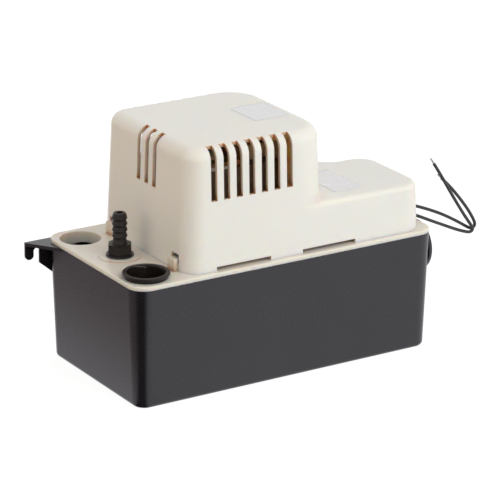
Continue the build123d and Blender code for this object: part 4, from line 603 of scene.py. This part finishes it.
varnished = stacked("varnished_core", ((0.20, 0.15, 0.11), (0.11, 0.075, 0.05)), (0.32, 0.55))
wear(varnished, "stator_core")
ground = stacked("ground_rotor", ((0.30, 0.29, 0.27), (0.20, 0.19, 0.17)), (0.28, 0.45))
wear(ground, "rotor")
bare_copper = surface("bare_copper", ((0.74, 0.33, 0.17), (0.52, 0.20, 0.10)), 0.004,
                      (0.25, 0.45), 0.0004, 0.00001, Metallic=1.0)
wear(bare_copper, "shading_rings")


# ---------------------------------------------------------------- winding
# Enamelled copper wire in even turns on a moulded spool, dipped in amber varnish. The spool
# is tan glass-filled nylon. The turns stand out as rounded ridges round the whole winding.

WIRE_PITCH = 0.0009
WIRE_RELIEF = 0.00022
COIL_CORNER_POWER = 5.0
COIL_DEPTH = 0.0074
COIL_EDGE = 0.0015
COIL_AROUND = 72
RINGS_A_TURN = 5


def turns():
    """Rings round the leg: ring k is a rounded rectangle at place y in the leg's direction. The
    outer rings are out by WIRE_RELIEF * |sin| of pi (y / WIRE_PITCH - its share of a turn), so
    the ridges climb one pitch in each turn; the inner rings close the winding on its spool."""
    low, high = (np.array(corner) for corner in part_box("stator_coil"))
    middle = (low + high) / 2
    half = (high - low) / 2
    inner = half[[0, 2]] - COIL_DEPTH
    count = int(round(2 * half[1] / WIRE_PITCH)) * RINGS_A_TURN
    y = np.linspace(-half[1], half[1], count)
    angle = np.linspace(0, 2 * np.pi, COIL_AROUND, endpoint=False)
    power = 2 / COIL_CORNER_POWER
    plan = np.stack([np.sign(np.cos(angle)) * np.abs(np.cos(angle)) ** power,
                     np.sign(np.sin(angle)) * np.abs(np.sin(angle)) ** power], axis=1)
    edge = np.clip((half[1] - np.abs(y)) / COIL_EDGE, 0, 1)
    fall = COIL_EDGE * (1 - np.sqrt(1 - (1 - edge) ** 2))
    swell = 1 - fall[:, None, None] / half[[0, 2]]
    ridge = WIRE_RELIEF * np.abs(np.sin(np.pi * (y[:, None] / WIRE_PITCH - angle / (2 * np.pi))))
    reach = (half[[0, 2]] * swell - WIRE_RELIEF + ridge[..., None]) * plan
    rings = np.empty((count + 2, COIL_AROUND, 3))
    rings[:count, :, [0, 2]] = reach
    rings[:count, :, 1] = y[:, None]
    rings[count:, :, [0, 2]] = inner * plan
    rings[count, :, 1] = half[1]
    rings[count + 1, :, 1] = -half[1]
    return shell(rings + middle, loop=True)


enamel = surface("enamelled_wire", ((0.78, 0.34, 0.12), (0.60, 0.23, 0.07)), 0.003,
                 (0.22, 0.38), 0.0005, 0.00001, Metallic=0.2, Coat_Weight=0.5)
winding = piece("coil_winding", [turns()], enamel)
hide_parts("stator_coil")

spool = surface("tan_nylon", ((0.72, 0.50, 0.28), (0.62, 0.41, 0.22)), 0.006, (0.40, 0.58),
                0.0006, 0.00002)
wear(spool, "coil_bobbin")


# ---------------------------------------------------------------- bearings and blades
# The two sleeves are oil-soaked sintered bronze with open pores; the switches' blades are
# rolled brass.

bronze = surface("sintered_bronze", ((0.42, 0.27, 0.12), (0.30, 0.18, 0.08)), 0.0012,
                 (0.42, 0.65), 0.0002, 0.00003, Metallic=0.9)
wear(bronze, "upper_bearing", "lower_bearing")
brass = surface("rolled_brass", ((0.72, 0.53, 0.26), (0.58, 0.40, 0.18)), 0.004, (0.24, 0.40),
                0.0004, 0.000005, stretch=(0.2, 1.0, 1.0), Metallic=1.0)
wear(brass, "switch_blades")


# ---------------------------------------------------------------- pump and fan
# Column, casing, floor and wheel are moulded in black glass-filled plastic. The glass shows
# as a faint grey fleck and short swirls near the surface. The motor's fan is the same.

filled = surface("glass_filled", ((0.030, 0.030, 0.033), (0.046, 0.046, 0.050)), 0.003,
                 (0.40, 0.60), 0.0004, 0.00003, stretch=(1.0, 1.0, 0.4))
wear(filled, "pump_column", "volute", "intake_plate", "impeller", "cooling_fan")


# ---------------------------------------------------------------- rubber pieces
# The slinger on the shaft, the gasket under the deck and the leads' bush are moulded in
# black rubber with a dry, faintly dusty skin.

rubber = surface("black_rubber", ((0.018, 0.018, 0.018), (0.034, 0.033, 0.031)), 0.005,
                 (0.62, 0.82), 0.0004, 0.00003, Sheen_Weight=0.1)
wear(rubber, "shaft_slinger", "discharge_gasket", "lead_grommet")


# ---------------------------------------------------------------- float and its linkage
# The float is white closed-cell foam with a fine cell texture. Its arm, its bracket and the
# rod that lifts the switch leaves are natural nylon, a little see-through at thin edges.

natural = surface("natural_nylon", ((0.72, 0.68, 0.56), (0.66, 0.61, 0.48)), 0.01,
                  (0.34, 0.50), 0.0008, 0.00002,
                  Subsurface_Weight=0.25, Subsurface_Radius=GLOW_RADIUS, Subsurface_Scale=0.002)
wear(natural, "float_bracket", "float_arm", "actuator_rod")

FOAM_CELLS = 900.0
FOAM_RELIEF = 0.00012

foam = surface("float_foam", ((0.80, 0.79, 0.74), (0.73, 0.71, 0.65)), 0.012, (0.60, 0.80),
               0.0009, 0.00004)
tree = foam.node_tree
where = tree.nodes.new("ShaderNodeTexCoord")
cells = tree.nodes.new("ShaderNodeTexVoronoi")
cells.inputs["Scale"].default_value = FOAM_CELLS
tree.links.new(where.outputs["Object"], cells.inputs["Vector"])
raised(tree, tree.nodes["Principled BSDF"], cells.outputs["Distance"], FOAM_RELIEF)
wear(foam, "float_body")


# ---------------------------------------------------------------- snap switches
# Two black phenolic cases, pressed and slightly mottled, each with a small red button.

phenolic = surface("phenolic", ((0.020, 0.019, 0.019), (0.036, 0.033, 0.030)), 0.0025,
                   (0.36, 0.56), 0.0004, 0.00002)
wear(phenolic, "overflow_switch", "run_switch")
button = surface("red_button", ((0.44, 0.045, 0.03), (0.34, 0.03, 0.02)), 0.003, (0.26, 0.40),
                 0.0004, 0.00001)
wear(button, "overflow_plunger", "run_plunger")
